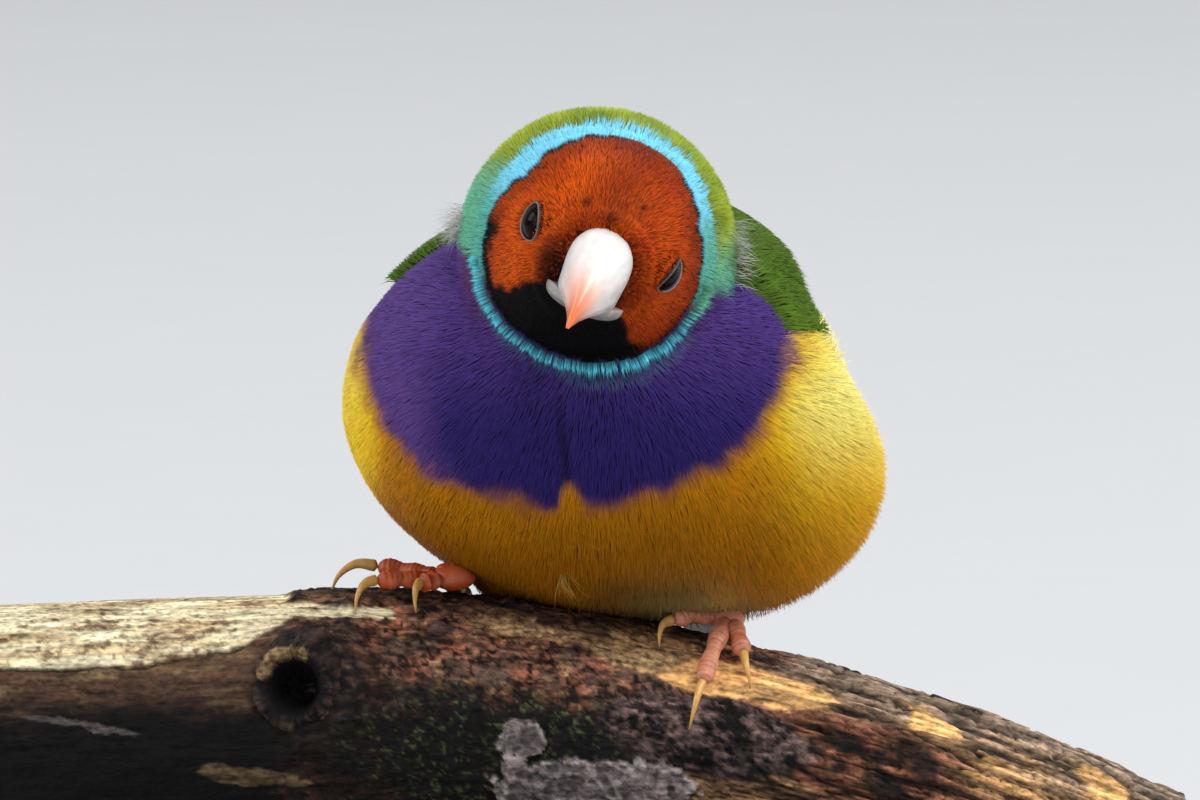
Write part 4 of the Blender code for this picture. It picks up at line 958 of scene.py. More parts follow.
def half_bill(at, widths, edges, mouth, rounding, pinch, stations=64, arch_points=45):
    """Rings (pinched width cos a, mouth + (edge - mouth) sin a to the power rounding), and a flat floor."""
    s = np.linspace(at[0], at[-1], stations)[:, None]
    width, edge = smooth(s, at, widths), smooth(s, at, edges)
    level = smooth(s, UPPER_AT, MOUTH_LINE) + mouth
    arch = np.linspace(0, math.pi, arch_points)[None]
    side = width * np.cos(arch) * (1 - pinch * (1 - np.sin(arch)))
    rise = level + (edge - level) * np.sin(arch) ** rounding
    floor = width * (1 - pinch) * np.linspace(-0.92, 0.92, 9)[None]
    ring = np.stack([np.concatenate([side, floor], 1), np.concatenate([rise, level + 0 * floor], 1)], axis=-1)
    local = np.concatenate([np.broadcast_to(s[..., None], ring.shape[:2] + (1,)), ring], axis=-1)
    chip = 0.05 * noise(local, 1.5, 40) + 0.02 * noise(local, 0.5, 41)
    centre = local.mean(axis=1, keepdims=True)
    local = centre + (local - centre) * (1 + 0.4 * chip[..., None] / np.maximum(width, 1.0)[..., None])
    bow = 0.35 * np.sin(math.pi * (s - UPPER_AT[0]) / (UPPER_AT[-1] - UPPER_AT[0]))
    return local + bow[..., None] * (0, 1, 0)


horn = mottled(
    "bill_horn", (500.0, (1.0, 0.3, 1.0)), (1500.0, (1.0, 0.35, 1.0), 0.25, 0.00008), (1400.0, 0.22, 0.42),
    Roughness=0.3, Coat_Weight=0.25, Coat_Roughness=0.2, Subsurface_Weight=0.12, Subsurface_Scale=0.001,
)

# %% Both halves
for name, shape in (
    ("upper", half_bill(UPPER_AT, UPPER_WIDTH, UPPER_TOP, 0.15, 0.68, 0.3)),
    ("lower", half_bill(LOWER_AT, LOWER_WIDTH, LOWER_BOTTOM, -0.15, 0.7, 0.0)),
):
    along, across, up = np.moveaxis(shape, -1, 0)
    pale = mix(HORN, GREY_HORN, 0.25 + 0.25 * noise(shape * (0.4, 1.5, 1.5), 0.7, 42))
    if name == "lower":
        # The lower half is greyer, and halved in brightness as painted shade under the upper half.
        pale = mix(pale, GREY_HORN, 0.7 + 0 * along) * 0.5
    scuff = (across > 1.8) * step(0.1, 0.5, noise(shape, 0.55, 43))
    scuff = scuff * step(5.5, 3.5, along) * step(2.5, 0.0, up)
    colour = layered(
        pale,
        (ROSE, step(4.5, 8.6, along - 0.5 * across) * step(4.5, 0.5, up)),
        (TIP, step(6.8, 10.2, along - 0.4 * across)),
        (GREY_HORN * (1.0, 0.8, 0.6), 0.6 * scuff),
    )
    part = tube_part((BILL_BASE + shape @ BILL)[None], colour[None])
    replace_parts(make_piece(f"bill_{name}_horn", part, horn), f"bill_{name}")

# %% [markdown]
# ## Collar fringe and down
# Under the chin the turquoise collar shows as a comb of short separate barbs over the purple. At the sides
# of the neck white down sticks out. Colour on the coat alone would leave both flat. They are blades like
# the coat's, but each is placed one by one: the barbs where the edge of the mask lies on the skin, the down
# at the two places where the wing meets the neck.

# %% The comb of barbs under the chin
FRINGE_PALE, FRINGE_DEEP, DOWN_WHITE = seen((112, 220, 240), (60, 176, 196), (206, 206, 202))
VIEWER_RIGHT, VIEWER_UP = TO_VIEWER[1:]
BARBS_A_TOOTH = 5


def grid_place(near):
    """For numbers of grid points: their places, the normals there and their u and v."""
    places = form.reshape(-1, 3)[near], out.reshape(-1, 3)[near]
    return *places, near % COLUMNS / COLUMNS, near // COLUMNS / (ROWS - 1)


rng = np.random.default_rng(8)
edge = np.flatnonzero((np.abs(past) < 0.9) & (c > -16))
edge_past, edge_angle = past.ravel()[edge], angle.ravel()[edge] % 360
teeth = np.arange(184.0, 344.0, 1.25)
teeth = teeth + 0.3 * rng.standard_normal(len(teeth))
barbs = np.repeat(teeth, BARBS_A_TOOTH) + np.tile(np.linspace(-0.45, 0.45, BARBS_A_TOOTH), len(teeth))
n = len(barbs)
barbs = barbs + 0.12 * rng.standard_normal(n)
cost = np.abs((edge_angle[None] - barbs[:, None]) * 0.2) ** 2 + (edge_past[None] - 0.1) ** 2
base, base_out, u, v = grid_place(edge[cost.argmin(axis=1)])
cos, sin = np.cos(np.radians(barbs))[:, None], np.sin(np.radians(barbs))[:, None]
base_a, base_b = from_front(base)[:2]
slip = cos * (base_b + MASK_BELOW)[:, None] - sin * (base_a + MASK_ASIDE)[:, None]
base = base - slip * (cos * VIEWER_UP - sin * VIEWER_RIGHT)
away = square_to(base_out, cos * VIEWER_RIGHT + sin * VIEWER_UP, 0.85)
reach = np.repeat(1.2 + 0.5 * rng.random(len(teeth)), BARBS_A_TOOTH) * (0.8 + 0.4 * rng.random(n))
reach = reach * (1 + 0.5 * step(322, 340, barbs))
points = blades(base + 0.5 * base_out, away, base_out, reach, 0.075, 0.3, 0.25)
shade = np.repeat(0.7 + 0.5 * rng.random(len(teeth)), BARBS_A_TOOTH)[:, None, None]
shade = shade * (0.85 + 0.3 * rng.random((n, 1, 1)))
band = layered(FRINGE_PALE, (FRINGE_DEEP, rng.random(n)), (TEAL, step(318, 334, barbs)))
# Painted shade darkens each barb's root to 0.35 of the band; its tip is 0.9.
colour = np.stack([0.35 * band] * 3 + [band] * 3 + [0.9 * band], axis=1) * shade
blade_piece("collar_fringe", points, colour, u, v)

# %% White down where the wings meet the neck
DOWN_SPOTS = ((-15.2, 2.6, 1.4, 2.0), (14.2, -0.6, 1.0, 3.6))
# Painted shade: each down blade is half as bright at its root as at its tip.
DOWN_PAINTED_SHADE = np.array((0.5, 0.5, 0.5, 0.9, 0.9, 0.9, 1.0))[:, None]
places = []
for mid_a, mid_b, size_a, size_b in DOWN_SPOTS:
    inside = ((a - mid_a) / size_a) ** 2 + ((b - mid_b) / size_b) ** 2 < 1
    places.append(rng.choice(np.flatnonzero(inside & (c > -34) & (c < -9)), 260))
base, base_out, u, v = grid_place(np.concatenate(places))
n = len(base)
sideways = np.sign(from_front(base)[0])[:, None] * VIEWER_RIGHT
lean = unit(sideways * 0.9 + VIEWER_UP * (0.3 * rng.standard_normal((n, 1)) - 0.3) - TO_VIEWER[0] * 0.35)
lean = unit(lean + 0.15 * rng.standard_normal(lean.shape))
points = blades(
    base - 0.8 * base_out, lean, unit(np.cross(lean, np.cross(base_out, lean))), 2.2 + 2.0 * rng.random(n),
    0.035 + 0.03 * rng.random(n), 0.3 + 0.3 * rng.random(n), 0.15 * rng.standard_normal(n),
)
colour = np.broadcast_to(DOWN_WHITE * (0.7 + 0.35 * rng.random((n, 1, 1))), (n, 7, 3)) * DOWN_PAINTED_SHADE
blade_piece("neck_down", points, colour, u, v)

# %% [markdown]
# ## Wings
# A folded wing is a fan of stiff vanes that slide over one another: dark primaries at the bottom, green
# secondaries and tertials over them, and rows of ever smaller coverts at the shoulder. One shell with a
# painted pattern would have no edges to catch the light. So each vane is a thin closed shell of its own on
# the body's form, cambered, with a raised shaft, and one loop lays each tier. The barbs are drawn by bands
# on the vane's own UV.

# %% The body's form under the wings
def on_body(t, phi, lift):
    """Places on the egg at t along its axis and phi degrees round it, lifted along the form's normal."""
    t, phi, lift = np.broadcast_arrays(np.asarray(t, float), np.radians(phi), np.asarray(lift, float))
    share = np.where(t > 0, t / EGG_FRONT, t / WING_REAR)
    full = np.where(t > 0, np.sqrt(clip(1 - share**2)), 1 - share**2)
    fuller = np.maximum(full, 0.05)
    slope = np.where(t > 0, -share / EGG_FRONT / fuller, -2 * share / WING_REAR)
    side, up = np.sin(phi) * full, np.cos(phi) * full
    swell = swelling(t / EGG_FRONT, side, up)
    local = np.stack([t, EGG_SIDE * side * swell, EGG_TOP * up * swell], axis=-1)
    normal = [-slope / fuller, np.sin(phi) / (EGG_SIDE * fuller), np.cos(phi) / (EGG_TOP * fuller)]
    return BODY_CENTRE + (local + lift[..., None] * unit(np.stack(normal, axis=-1))) @ BODY


def vane_shells(place, lengths, widths, pointed, stations, across, thickness=0.22, shaft=0.12):
    """Rings (upper side then lower side) of cambered shells, thickest at the shaft, with worn, wavy edges.

    Half the width grows from the quill by 0.5 + 1.6 s, and rounds off as a circle over the pointed share.
    """
    s = np.linspace(0, 1, stations)[None, :, None]
    x = np.linspace(-1, 1, across)[None, None, :]
    n = len(widths)
    blunt = np.sqrt(clip(1 - (np.maximum(0, s - (1 - pointed)) / pointed) ** 2, 0.004, 1))
    half = 0.5 * np.asarray(widths)[:, None, None] * np.minimum(1, 0.5 + 1.6 * s) * blunt
    wave = np.stack(np.broadcast_arrays(s * 9.0, x * 0.5, np.arange(n)[:, None, None] * 3.7), axis=-1)
    half = half * (1 + 0.05 * noise(wave, 0.7, 50) * (np.abs(x) > 0.8))
    rib = shaft * bell(x * half / 0.22) * (1 - 0.7 * s)
    thick = thickness * (1 - 0.65 * x**2) * (1 - 0.4 * s)
    camber = -0.30 * x**2 * np.minimum(1.0, half / 3.0)
    upper = place(s + 0 * x, x * half, camber + rib + 0 * s)
    lower = place(s + 0 * x, x * half, camber - thick)
    rings = np.concatenate([upper, lower[:, :, ::-1]], axis=2)
    s, x, half = (np.concatenate([g, g[:, :, ::-1]], axis=2) for g in np.broadcast_arrays(s, x, half))
    along = np.asarray(lengths)[:, None, None] * s - 0.9 * np.abs(x) * half
    return rings, s, x, np.stack([x * half, along], axis=-1)


vane_finish = new_finish("wing_vanes", Roughness=0.5, Specular_IOR_Level=0.35, Sheen_Weight=0.1)
barb_map = add(vane_finish, "ShaderNodeUVMap", uv_map="Surface")
barb_links = {"Vector": barb_map, "Scale": 1.6, "Distortion": 1.2, "Detail": 1.0, "Detail Scale": 2.0}
barb_bands = add(vane_finish, "ShaderNodeTexWave", barb_links, bands_direction="Y").node.outputs["Fac"]
tinted(vane_finish, ranged(vane_finish, barb_bands, 0.82, 1.18))
bumpy(vane_finish, barb_bands, 0.5, 0.00006)

# %% Tiers of the wing
WING_GREEN, WING_DEEP, QUILL_BROWN, EDGE_GREEN = seen(
    (76, 102, 28), (46, 72, 23), (44, 34, 28), (108, 124, 46)
)
WING_TIERS = (
    # name, count, (t, degrees) of first and last root and of first and last tip,
    # first and last width and layer, share of the pointed tip
    ("primary", 9, ((-8.0, 69.0), (-14.0, 56.0)), ((-38.0, 64.0), (-51.0, 34.0)),
     (5.0, 4.4), (0, 2.75), 0.3),
    ("secondary", 8, ((-6.0, 63.0), (-10.0, 42.0)), ((-29.0, 61.0), (-35.0, 30.0)),
     (6.4, 7.0), (2, 3.65), 0.25),
    ("tertial", 3, ((-6.0, 44.0), (-6.0, 24.0)), ((-33.0, 30.0), (-25.0, 14.0)),
     (8.0, 7.6), (3.6, 4.7), 0.35),
    ("greater_covert", 9, ((2.0, 66.0), (-1.0, 28.0)), ((-17.0, 65.0), (-18.0, 22.0)),
     (6.4, 6.8), (3.4, 5.6), 0.3),
    ("median_covert", 8, ((9.0, 62.0), (5.0, 30.0)), ((-8.0, 63.0), (-9.0, 26.0)),
     (6.6, 7.0), (5.0, 6.6), 0.4),
    ("lesser_covert_a", 8, ((13.0, 60.0), (9.0, 30.0)), ((-1.0, 62.0), (-3.0, 27.0)),
     (5.8, 6.2), (5.9, 7.0), 0.5),
    ("lesser_covert_b", 7, ((17.0, 58.0), (13.0, 32.0)), ((5.0, 60.0), (3.0, 29.0)),
     (5.4, 5.8), (5.6, 6.8), 0.55),
)
DARK_WEBS = {"primary": (1.0, (0.55, 0.15)), "secondary": (0.75, (0.75, 0.4))}


def between(ends, share):
    """From the first of two values to the last."""
    return ends[0] + (ends[1] - ends[0]) * share


for side_name, side, tuck in (("left", 1, 14.0), ("right", -1, 6.0)):
    parts, barbs = [], []
    for k, (tier, count, roots, tips, widths, layers, pointed) in enumerate(WING_TIERS):
        share = np.linspace(0, 1, count)
        root, tip = (between(np.array(ends), share[:, None])[:, :, None, None] for ends in (roots, tips))
        layer = between(layers, share)[:, None, None]
        run = tip - root

        def place(s, sideways, rise):
            """On the body at a share s from root to tip, turned sideways, above the tier's own layer."""
            t = root[:, 0] + run[:, 0] * s
            full = np.where(t > 0, np.sqrt(clip(1 - (t / EGG_FRONT) ** 2, 0.04, 1)), 1 - (t / WING_REAR) ** 2)
            degrees = root[:, 1] + run[:, 1] * s + np.degrees(sideways / (25.0 * full))
            base = 0.6 + layer * 0.25 * (1 - 0.4 * s) - 0.9 * step(0.35, 0.0, s)
            base = base * (1 - 0.6 * step(44, 62, degrees)) - 1.5 * step(6, 18, t)
            return on_body(t, side * (degrees - tuck * clip(1 + t / 60)), base + rise)

        size = (10, 7) if tier.startswith(("lesser", "median")) else (20, 9)
        rings, s, x, barb = vane_shells(place, -run[:, 0, 0, 0], between(widths, share), pointed, *size)
        colour = layered(
            mix(WING_DEEP, WING_GREEN, 0.55 + 0.35 * noise(rings, 1.8, 60)),
            (EDGE_GREEN, step(0.55, 0.95, np.abs(x)) * 0.55),
            (WING_DEEP, 0.7 * bell(x / 0.12)),
        )
        if tier in DARK_WEBS:
            dark, (first, last) = DARK_WEBS[tier]
            colour = mix(colour, QUILL_BROWN, dark * step(first, last, -x))
        low = ((k % 4) / 4, k // 4 / 2)
        parts.append(tube_part(rings, colour, low, (low[0] + 0.25, low[1] + 0.5)))
        barbs.append(with_middles(barb, rings.shape[:3]))
    barb_uvs = np.concatenate(barbs)
    wing = make_piece(f"wing_{side_name}_vanes", join(parts), vane_finish, barb_uvs)
    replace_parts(wing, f"wing_{side_name}")

# %% Small feathers over the wings' shoulders
for side_name, side, count, wing_edge in (("left", 1, 9000, 50.0), ("right", -1, 5600, 58.0)):
    rng = np.random.default_rng(90)
    at, round_to = 19.0 - 31.0 * rng.random(count) ** 1.2, 18.0 + 62.0 * rng.random(count)
    ragged = 4 * noise(np.stack([at, round_to, 0 * at], axis=-1), 2.5, 91)
    kept = at + ragged > -7 + 5 * step(wing_edge, 78, round_to)
    at, round_to = at[kept], round_to[kept]
    lift = 0.1 + 1.9 * step(wing_edge + 10, wing_edge - 12, round_to) * step(21, 7, at)
    root = on_body(at, side * round_to, lift - 0.5)
    root_a, root_b = from_front(root)[:2]
    shown = root_b > np.where(root_a > 0, shoulder_line(root_a) - 0.5, -4.0)
    at, round_to, lift, root = at[shown], round_to[shown], lift[shown], root[shown]
    outward = unit(on_body(at, side * round_to, lift + 1.0) - root)
    direction = on_body(at - 1.0, side * round_to, lift) - on_body(at, side * round_to, lift)
    direction = square_to(outward, direction + 0.16 * rng.standard_normal(direction.shape))
    long = 3.0 * (0.8 + 0.4 * rng.random(len(at)))
    points = blades(root, direction, outward, long, 0.17, 0.7, 0.75)
    tone = mix(LEAF, WING_GREEN, 0.3 + 0.5 * step(8, 0, at)) * (1 + 0.2 * noise(root, 2.0, 92)[:, None])
    colours = blade_colours(tone, tone, rng, 0.22, 0.55)
    u, v = 0.05 + 0.9 * (at + 12) / 31, 0.05 + 0.9 * (round_to - 18) / 62
    normals = blade_normals(direction, outward)
    blade_piece(f"shoulder_{side_name}", points, colours, u, v, normals)

# %% [markdown]
# ## Tail
# Twelve black tail feathers lie under one another, the middle pair on top and drawn out into points. Blue
# coverts cover their roots from above and white ones from below. They could be cut from one flat fan. They
# are vanes as on the wing instead, each a straight strip that leaves the rump and fans out by its own angle,
# so that the steps between them show.

# %% Tail feathers and coverts
TAIL_BLACK, TAIL_EDGE, COVERT_BLUE, COVERT_WHITE = seen(
    (24, 22, 26), (58, 52, 54), (96, 160, 205), (232, 232, 224)
)
TAIL_VANES = (
    # of each pair: lengths, widths, fan in degrees, root sideways, height over the root,
    # then of all: start, arch, share of the pointed tip, colours
    ((61.0,), (4.6,), (0.4,), (0.9,), (0.5,), 6.0, 0.0, 0.8, (TAIL_BLACK, TAIL_EDGE)),
    ((43.0, 40.0, 37.0, 34.0, 31.0), (6.4, 6.4, 6.2, 6.0, 5.6), (3.2, 5.6, 8.0, 10.4, 12.6),
     (1.6, 2.2, 2.8, 3.4, 3.9), (0.26, 0.0, -0.26, -0.52, -0.78), 6.0, 0.0, 0.35, (TAIL_BLACK, TAIL_EDGE)),
    ((15.0, 19.0, 23.0, 27.0), (5.4, 5.6, 5.4, 5.0), (13.0, 10.0, 6.0, 2.0), (2.6, 2.0, 1.2, 0.6),
     (1.0, 1.3, 1.6, 1.9), -3.0, 5.6, 0.6, (COVERT_BLUE * 0.55, COVERT_BLUE)),
    ((16.0, 20.0, 25.0, 29.0), (5.6, 5.8, 6.0, 5.6), (12.0, 9.0, 5.0, 2.0), (2.4, 1.8, 1.1, 0.5),
     (-1.9, -2.2, -2.5, -2.8), -2.0, -4.8, 0.6, (COVERT_WHITE * 0.7, COVERT_WHITE)),
)
parts, barbs = [], []
for k, (*pairs, start, bow, pointed, (dark, light)) in enumerate(TAIL_VANES):
    lengths, widths, fan, aside, heights = (np.repeat(np.array(values), 2)[:, None, None] for values in pairs)
    hand = np.tile((1.0, -1.0), len(lengths) // 2)[:, None, None]
    heights = heights - 0.13 * (hand < 0)

    def place(s, sideways, rise):
        """On a straight strip back from the rump, fanned out, bowed by the share (1 - s) squared."""
        back = start + (lengths - start) * s
        shift = aside + (back - start) * np.tan(np.radians(fan))
        local = (-back, hand * shift + sideways, 0.6 + heights + bow * (1 - s) ** 2 + rise)
        return TAIL_ROOT + np.stack(np.broadcast_arrays(*local), axis=-1) @ TAIL

    rings, s, x, barb = vane_shells(place, lengths.ravel(), widths.ravel(), pointed, 22, 9)
    colour = mix(dark, light, clip(0.25 + 0.6 * step(0.4, 1.0, np.abs(x)) + 0.3 * noise(rings, 1.5, 61)))
    low = ((k % 2) / 2, k // 2 / 2)
    parts.append(tube_part(rings, colour, low, (low[0] + 0.5, low[1] + 0.5)))
    barbs.append(with_middles(barb, rings.shape[:3]))
tail = make_piece("tail_vanes", join(parts), vane_finish, np.concatenate(barbs))
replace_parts(tail, "tail")

# %% [markdown]
# ## Feet and claws
# A finch's toes are slender and wrapped in overlapping scutes, with soft pads underneath, and each ends in
# a curved claw. A row of bent cylinders would show its joints. Each toe is one profile carried along a
# curve over the bark. A saw-tooth in the radius makes the scutes on top, and slow swellings make the joints
# and pads.

# %% Where the toes stand on the perch
PERCH_TOP_X = (-64.0, -40.0, -12.0, 5.0, 26.0, 46.0, 61.0)
PERCH_TOP_DROP = (-0.7, -1.5, -1.0, 1.5, 6.4, 12.9, 19.4)
PERCH_RADIUS_X, PERCH_RADIUS = (-64.0, -30.0, 0.0, 30.0, 61.0), (12.6, 13.2, 12.9, 12.2, 11.4)


def perch_middle(x):
    """The branch's centre line and radius at x: its top line less its radius, bowed a little."""
    radius = smooth(x, PERCH_RADIUS_X, PERCH_RADIUS)
    top = PERCH_TOP - smooth(x, PERCH_TOP_X, PERCH_TOP_DROP)
    return PERCH_Y + 1.5 * np.cos(np.asarray(x, float) / 30.0) - 1.5, top - radius, radius


def on_perch(places):
    """Places given by x, the angle forward from the branch's top in degrees, and the height over the bark."""
    x, angle, lift = np.array(places, float).T
    y, z, radius = perch_middle(x)
    a = np.radians(angle)
    return np.stack([x, y - (radius + lift) * np.sin(a), z + (radius + lift) * np.cos(a)], axis=-1)


def along_path(path, stations):
    """A smooth line through a path, with two directions square to it that don't twist."""
    walked = np.concatenate([[0], np.cumsum(np.linalg.norm(np.diff(path, axis=0), axis=1))])
    at = np.linspace(0, walked[-1], stations)
    line = np.stack([smooth(at, walked, path[:, k]) for k in range(3)], axis=1)
    ahead = unit(np.gradient(line, axis=0))
    over = unit(line - np.stack([line[:, 0], *perch_middle(line[:, 0])[:2]], axis=1))
    over = square_to(ahead, over)
    return line, over, np.cross(ahead, over), walked[-1]


# %% A toe and a claw
SKIN_PINK, SKIN_ORANGE, SKIN_CREASE = seen((214, 146, 116), (184, 80, 40), (112, 52, 32))
CLAW_PALE, CLAW_DARK = seen((210, 160, 86), (124, 80, 40))
TOE_RADII = 0.94 * np.array((1.05, 0.84, 1.08, 0.78, 1.08, 0.8))
SHANK_RADII = 1.15 * np.array((1.25, 0.98, 0.95, 1.0, 1.1))


def stations_round(stations, sides):
    """Shares along a tube as a column, and angles round it as a row."""
    return np.linspace(0, 1, stations)[:, None], np.linspace(0, 2 * math.pi, sides, endpoint=False)[None]


def toe_part(path, radii, cell, warm, scutes, stations=70, sides=26):
    """Radius times (1 + joints + scutes on top + pads below), carried along the path, with rounded ends."""
    line, over, beside, length = along_path(path, stations)
    s, b = stations_round(stations, sides)
    radius = np.interp(s, np.linspace(0, 1, len(radii)), radii)
    ends = np.sqrt(clip(1 - (1 - np.minimum(s, 1 - s) * length / 0.8).clip(0) ** 2, 0.03, 1))
    top = step(-0.2, 0.6, np.cos(b))
    plate = (s * length * scutes) % 1.0
    groove = bell(np.minimum(plate, 1 - plate) / 0.13) * top
    flat = np.stack(np.broadcast_arrays(s * length, b * 1.5, 0 * s + cell[0] * 9), -1)
    pad = (1 - top) * (0.09 * np.abs(np.sin(s * length * 2.2)) - 0.02) + 0.03 * noise(flat, 0.5, 70)
    radius = radius * ends * (1 + 0.04 * (0.5 - plate) * top - 0.03 * groove + pad)
    ring = radius[..., None] * (np.cos(b)[..., None] * over[:, None] + np.sin(b)[..., None] * beside[:, None])
    rings = line[:, None] + ring
    tone = layered(
        SKIN_PINK,
        (SKIN_ORANGE, clip(warm + 0.3 * noise(rings, 1.5, 71))),
        # The grooves between the scutes are darkened as painted shade, with random darker patches besides.
        (SKIN_CREASE, clip(0.5 * groove + 0.4 * noise(rings, 0.5, 74))),
    )
    return tube_part(rings[None], tone[None], cell, (cell[0] + 0.25, cell[1] + 0.25))


def claw_rings(path, stations=26, sides=14):
    """A claw's taper: radius 0.6 (1 - 0.88 s to the power 1.1) along its curve, a little deeper than wide."""
    line, over, beside = along_path(path, stations)[:3]
    s, b = stations_round(stations, sides)
    radius = 0.6 * (1 - 0.88 * s**1.1) * np.sqrt(clip(1 - ((0.06 - s) / 0.06).clip(0) ** 2, 0.1, 1))
    ring = 1.1 * np.cos(b)[..., None] * over[:, None] + 0.85 * np.sin(b)[..., None] * beside[:, None]
    return line[:, None] + radius[..., None] * ring, s + 0 * b


foot_finish = mottled(
    "foot_skin", (1800.0,), (4200.0, 0.5, 0.00006),
    Roughness=0.42, Subsurface_Weight=0.15, Subsurface_Scale=0.0008, Specular_IOR_Level=0.45,
)
claw_finish = mottled(
    "claw_horn", (2500.0,), (3000.0, 0.3, 0.00005), Roughness=0.3, Coat_Weight=0.2, Coat_Roughness=0.3
)

# %% Both feet
TOES = {
    # for each toe its places and its claw's places, each (x, degrees, height)
    "left": {
        "inner": (((12.9, 6.0, 2.4), (10.8, 9.0, 2.6), (8.9, 13.0, 2.5), (7.6, 17.0, 2.0)),
                  ((7.5, 17.0, 2.2), (6.5, 21.0, 1.9), (6.1, 26.0, 1.1), (6.1, 29.0, 0.25))),
        "middle": (((13.0, 8.0, 2.4), (12.1, 24.0, 2.0), (11.2, 38.0, 1.6), (10.6, 49.0, 1.4)),
                   ((10.5, 49.0, 1.6), (9.9, 58.0, 1.7), (9.4, 66.0, 1.1), (9.1, 71.0, 0.25))),
        "outer": (((13.4, 7.0, 2.4), (14.2, 19.0, 2.2), (14.7, 29.0, 1.6)),
                  ((14.7, 29.0, 1.8), (15.0, 36.0, 1.6), (15.3, 41.0, 0.9), (15.4, 44.0, 0.25))),
        "hind": (((13.3, 0.0, 2.3), (13.5, -18.0, 1.6), (13.8, -36.0, 1.4)),
                 ((13.8, -36.0, 1.6), (13.9, -46.0, 1.7), (14.0, -54.0, 1.1), (14.0, -60.0, 0.25))),
    },
    "right": {
        "inner": (((-16.6, 7.0, 2.2), (-17.6, 12.0, 2.3), (-18.5, 15.0, 2.4)),
                  ((-18.5, 15.0, 2.5), (-18.9, 19.0, 2.3), (-19.0, 23.0, 1.3), (-18.9, 25.5, 0.25))),
        "middle": (((-16.7, 5.0, 2.2), (-19.0, 9.0, 2.2), (-21.5, 12.0, 2.4), (-23.0, 13.0, 2.3)),
                   ((-23.0, 13.0, 2.4), (-24.2, 17.0, 2.4), (-25.0, 23.0, 1.4), (-25.1, 27.0, 0.25))),
        "outer": (((-16.8, 2.0, 2.3), (-19.2, -3.0, 2.4), (-21.4, -6.0, 2.7), (-23.0, -7.0, 2.8)),
                  ((-23.0, -7.0, 2.9), (-25.2, -7.0, 3.1), (-27.0, -6.0, 1.9), (-27.8, -5.0, 0.25))),
        "hind": (((-16.3, -3.0, 2.1), (-14.9, -20.0, 1.5), (-13.9, -36.0, 1.4)),
                 ((-13.9, -36.0, 1.6), (-13.6, -46.0, 1.7), (-13.4, -54.0, 1.1), (-13.3, -60.0, 0.25))),
    },
}
FEET = (
    # side, ankle, how orange the skin is, how far the ball of the foot reaches inwards
    ("left", (13.2, 6.0, 2.4), 0.25, 0.0),
    ("right", (-16.6, 4.0, 2.1), 0.95, 1.5),
)
SCUTES_ON_TOE, SCUTES_ON_SHANK = 1.9, 1.3
for side, ankle, warm, inward in FEET:
    parts = [
        toe_part(on_perch(toe), TOE_RADII, (k / 4, 0.0), warm, SCUTES_ON_TOE)
        for k, (toe, claw) in enumerate(TOES[side].values())
    ]
    ankle = on_perch([ankle])[0]
    shank = np.linspace(ankle, THIGHS[side], 5)
    parts.append(toe_part(shank, SHANK_RADII, (0.0, 0.3), warm, SCUTES_ON_SHANK))
    rings = ball_part(ankle + (inward, 0, 0.1), LEVEL, np.array((1.7, 1.75 + 0.35 * inward, 1.35)), 30, 40)
    tone = mix(SKIN_PINK, SKIN_ORANGE, clip(warm + 0.4 * noise(rings, 0.8, 72)))
    parts.append(tube_part(rings, tone, (0.3, 0.3), (0.5, 0.5)))
    foot = make_piece(f"foot_{side}_scutes", join(parts), foot_finish)
    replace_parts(foot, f"foot_{side}")
    for name, (toe, claw) in TOES[side].items():
        rings, s = claw_rings(on_perch(claw))
        tone = mix(CLAW_PALE, CLAW_DARK, clip(0.15 + 0.25 * noise(rings, 0.6, 73) + 0.5 * step(0.75, 1.0, s)))
        horn_piece = make_piece(
            f"claw_{side}_{name}_horn", tube_part(rings[None], tone[None]), claw_finish
        )
        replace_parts(horn_piece, f"claw_{side}_{name}")

# %% [markdown]
# ## The branch
# It is a dead branch: bare bleached wood on its left, dark cracked bark with a knot, reddish rot and moss
# in its middle, and split fibrous wood on its right, with grey lichen. It could be displaced by a texture.
# Here every point of a fine tube gets its own height and colour from the same few maps, so form and finish
# agree. The zones are placed in pixels of the picture, as they are seen from the front.

# %% Textures of wood and bark
CREAM, DRY_WOOD, WOOD_GREY, TAN_WOOD, GOLD_WOOD = seen(
    (226, 214, 176), (180, 150, 106), (146, 128, 112), (182, 140, 98), (240, 184, 114)
)
UMBER, CHESTNUT, BARK_BROWN, BLACK_AND_SHADE = seen((100, 74, 58), (124, 78, 60), (76, 60, 52), (20, 17, 18))
MOSS_GREEN, LICHEN_PALE, LICHEN_GREY, BARK_VIOLET = seen(
    (80, 92, 56), (160, 148, 144), (104, 94, 94), (92, 80, 80)
)


def fractal(points, size, seed, octaves=4):
    """Noise plus noise of half the size and 0.6 of the height, again and again."""
    return sum(0.6**k * noise(points, size / 2**k, seed + 7 * k) for k in range(octaves))


def patch(px, py, x, y, wide, high, tilt=0.0, edge=0.12):
    """1 inside an ellipse round (x, y) tilted clockwise, 0 outside it, with an edge a share of its size."""
    a = math.radians(tilt)
    u = ((px - x) * math.cos(a) + (py - y) * math.sin(a)) / wide
    v = ((py - y) * math.cos(a) - (px - x) * math.sin(a)) / high
    return step(1 + edge, 1 - edge, np.hypot(u, v))


def terraces(values, levels=2.3):
    """Flat steps with steep edges, as wood flakes off in layers, and 1 just under each edge."""
    part = values * levels - np.floor(values * levels)
    return np.floor(values * levels) + step(0.75, 1.0, part), bell((part - 0.8) / 0.13)


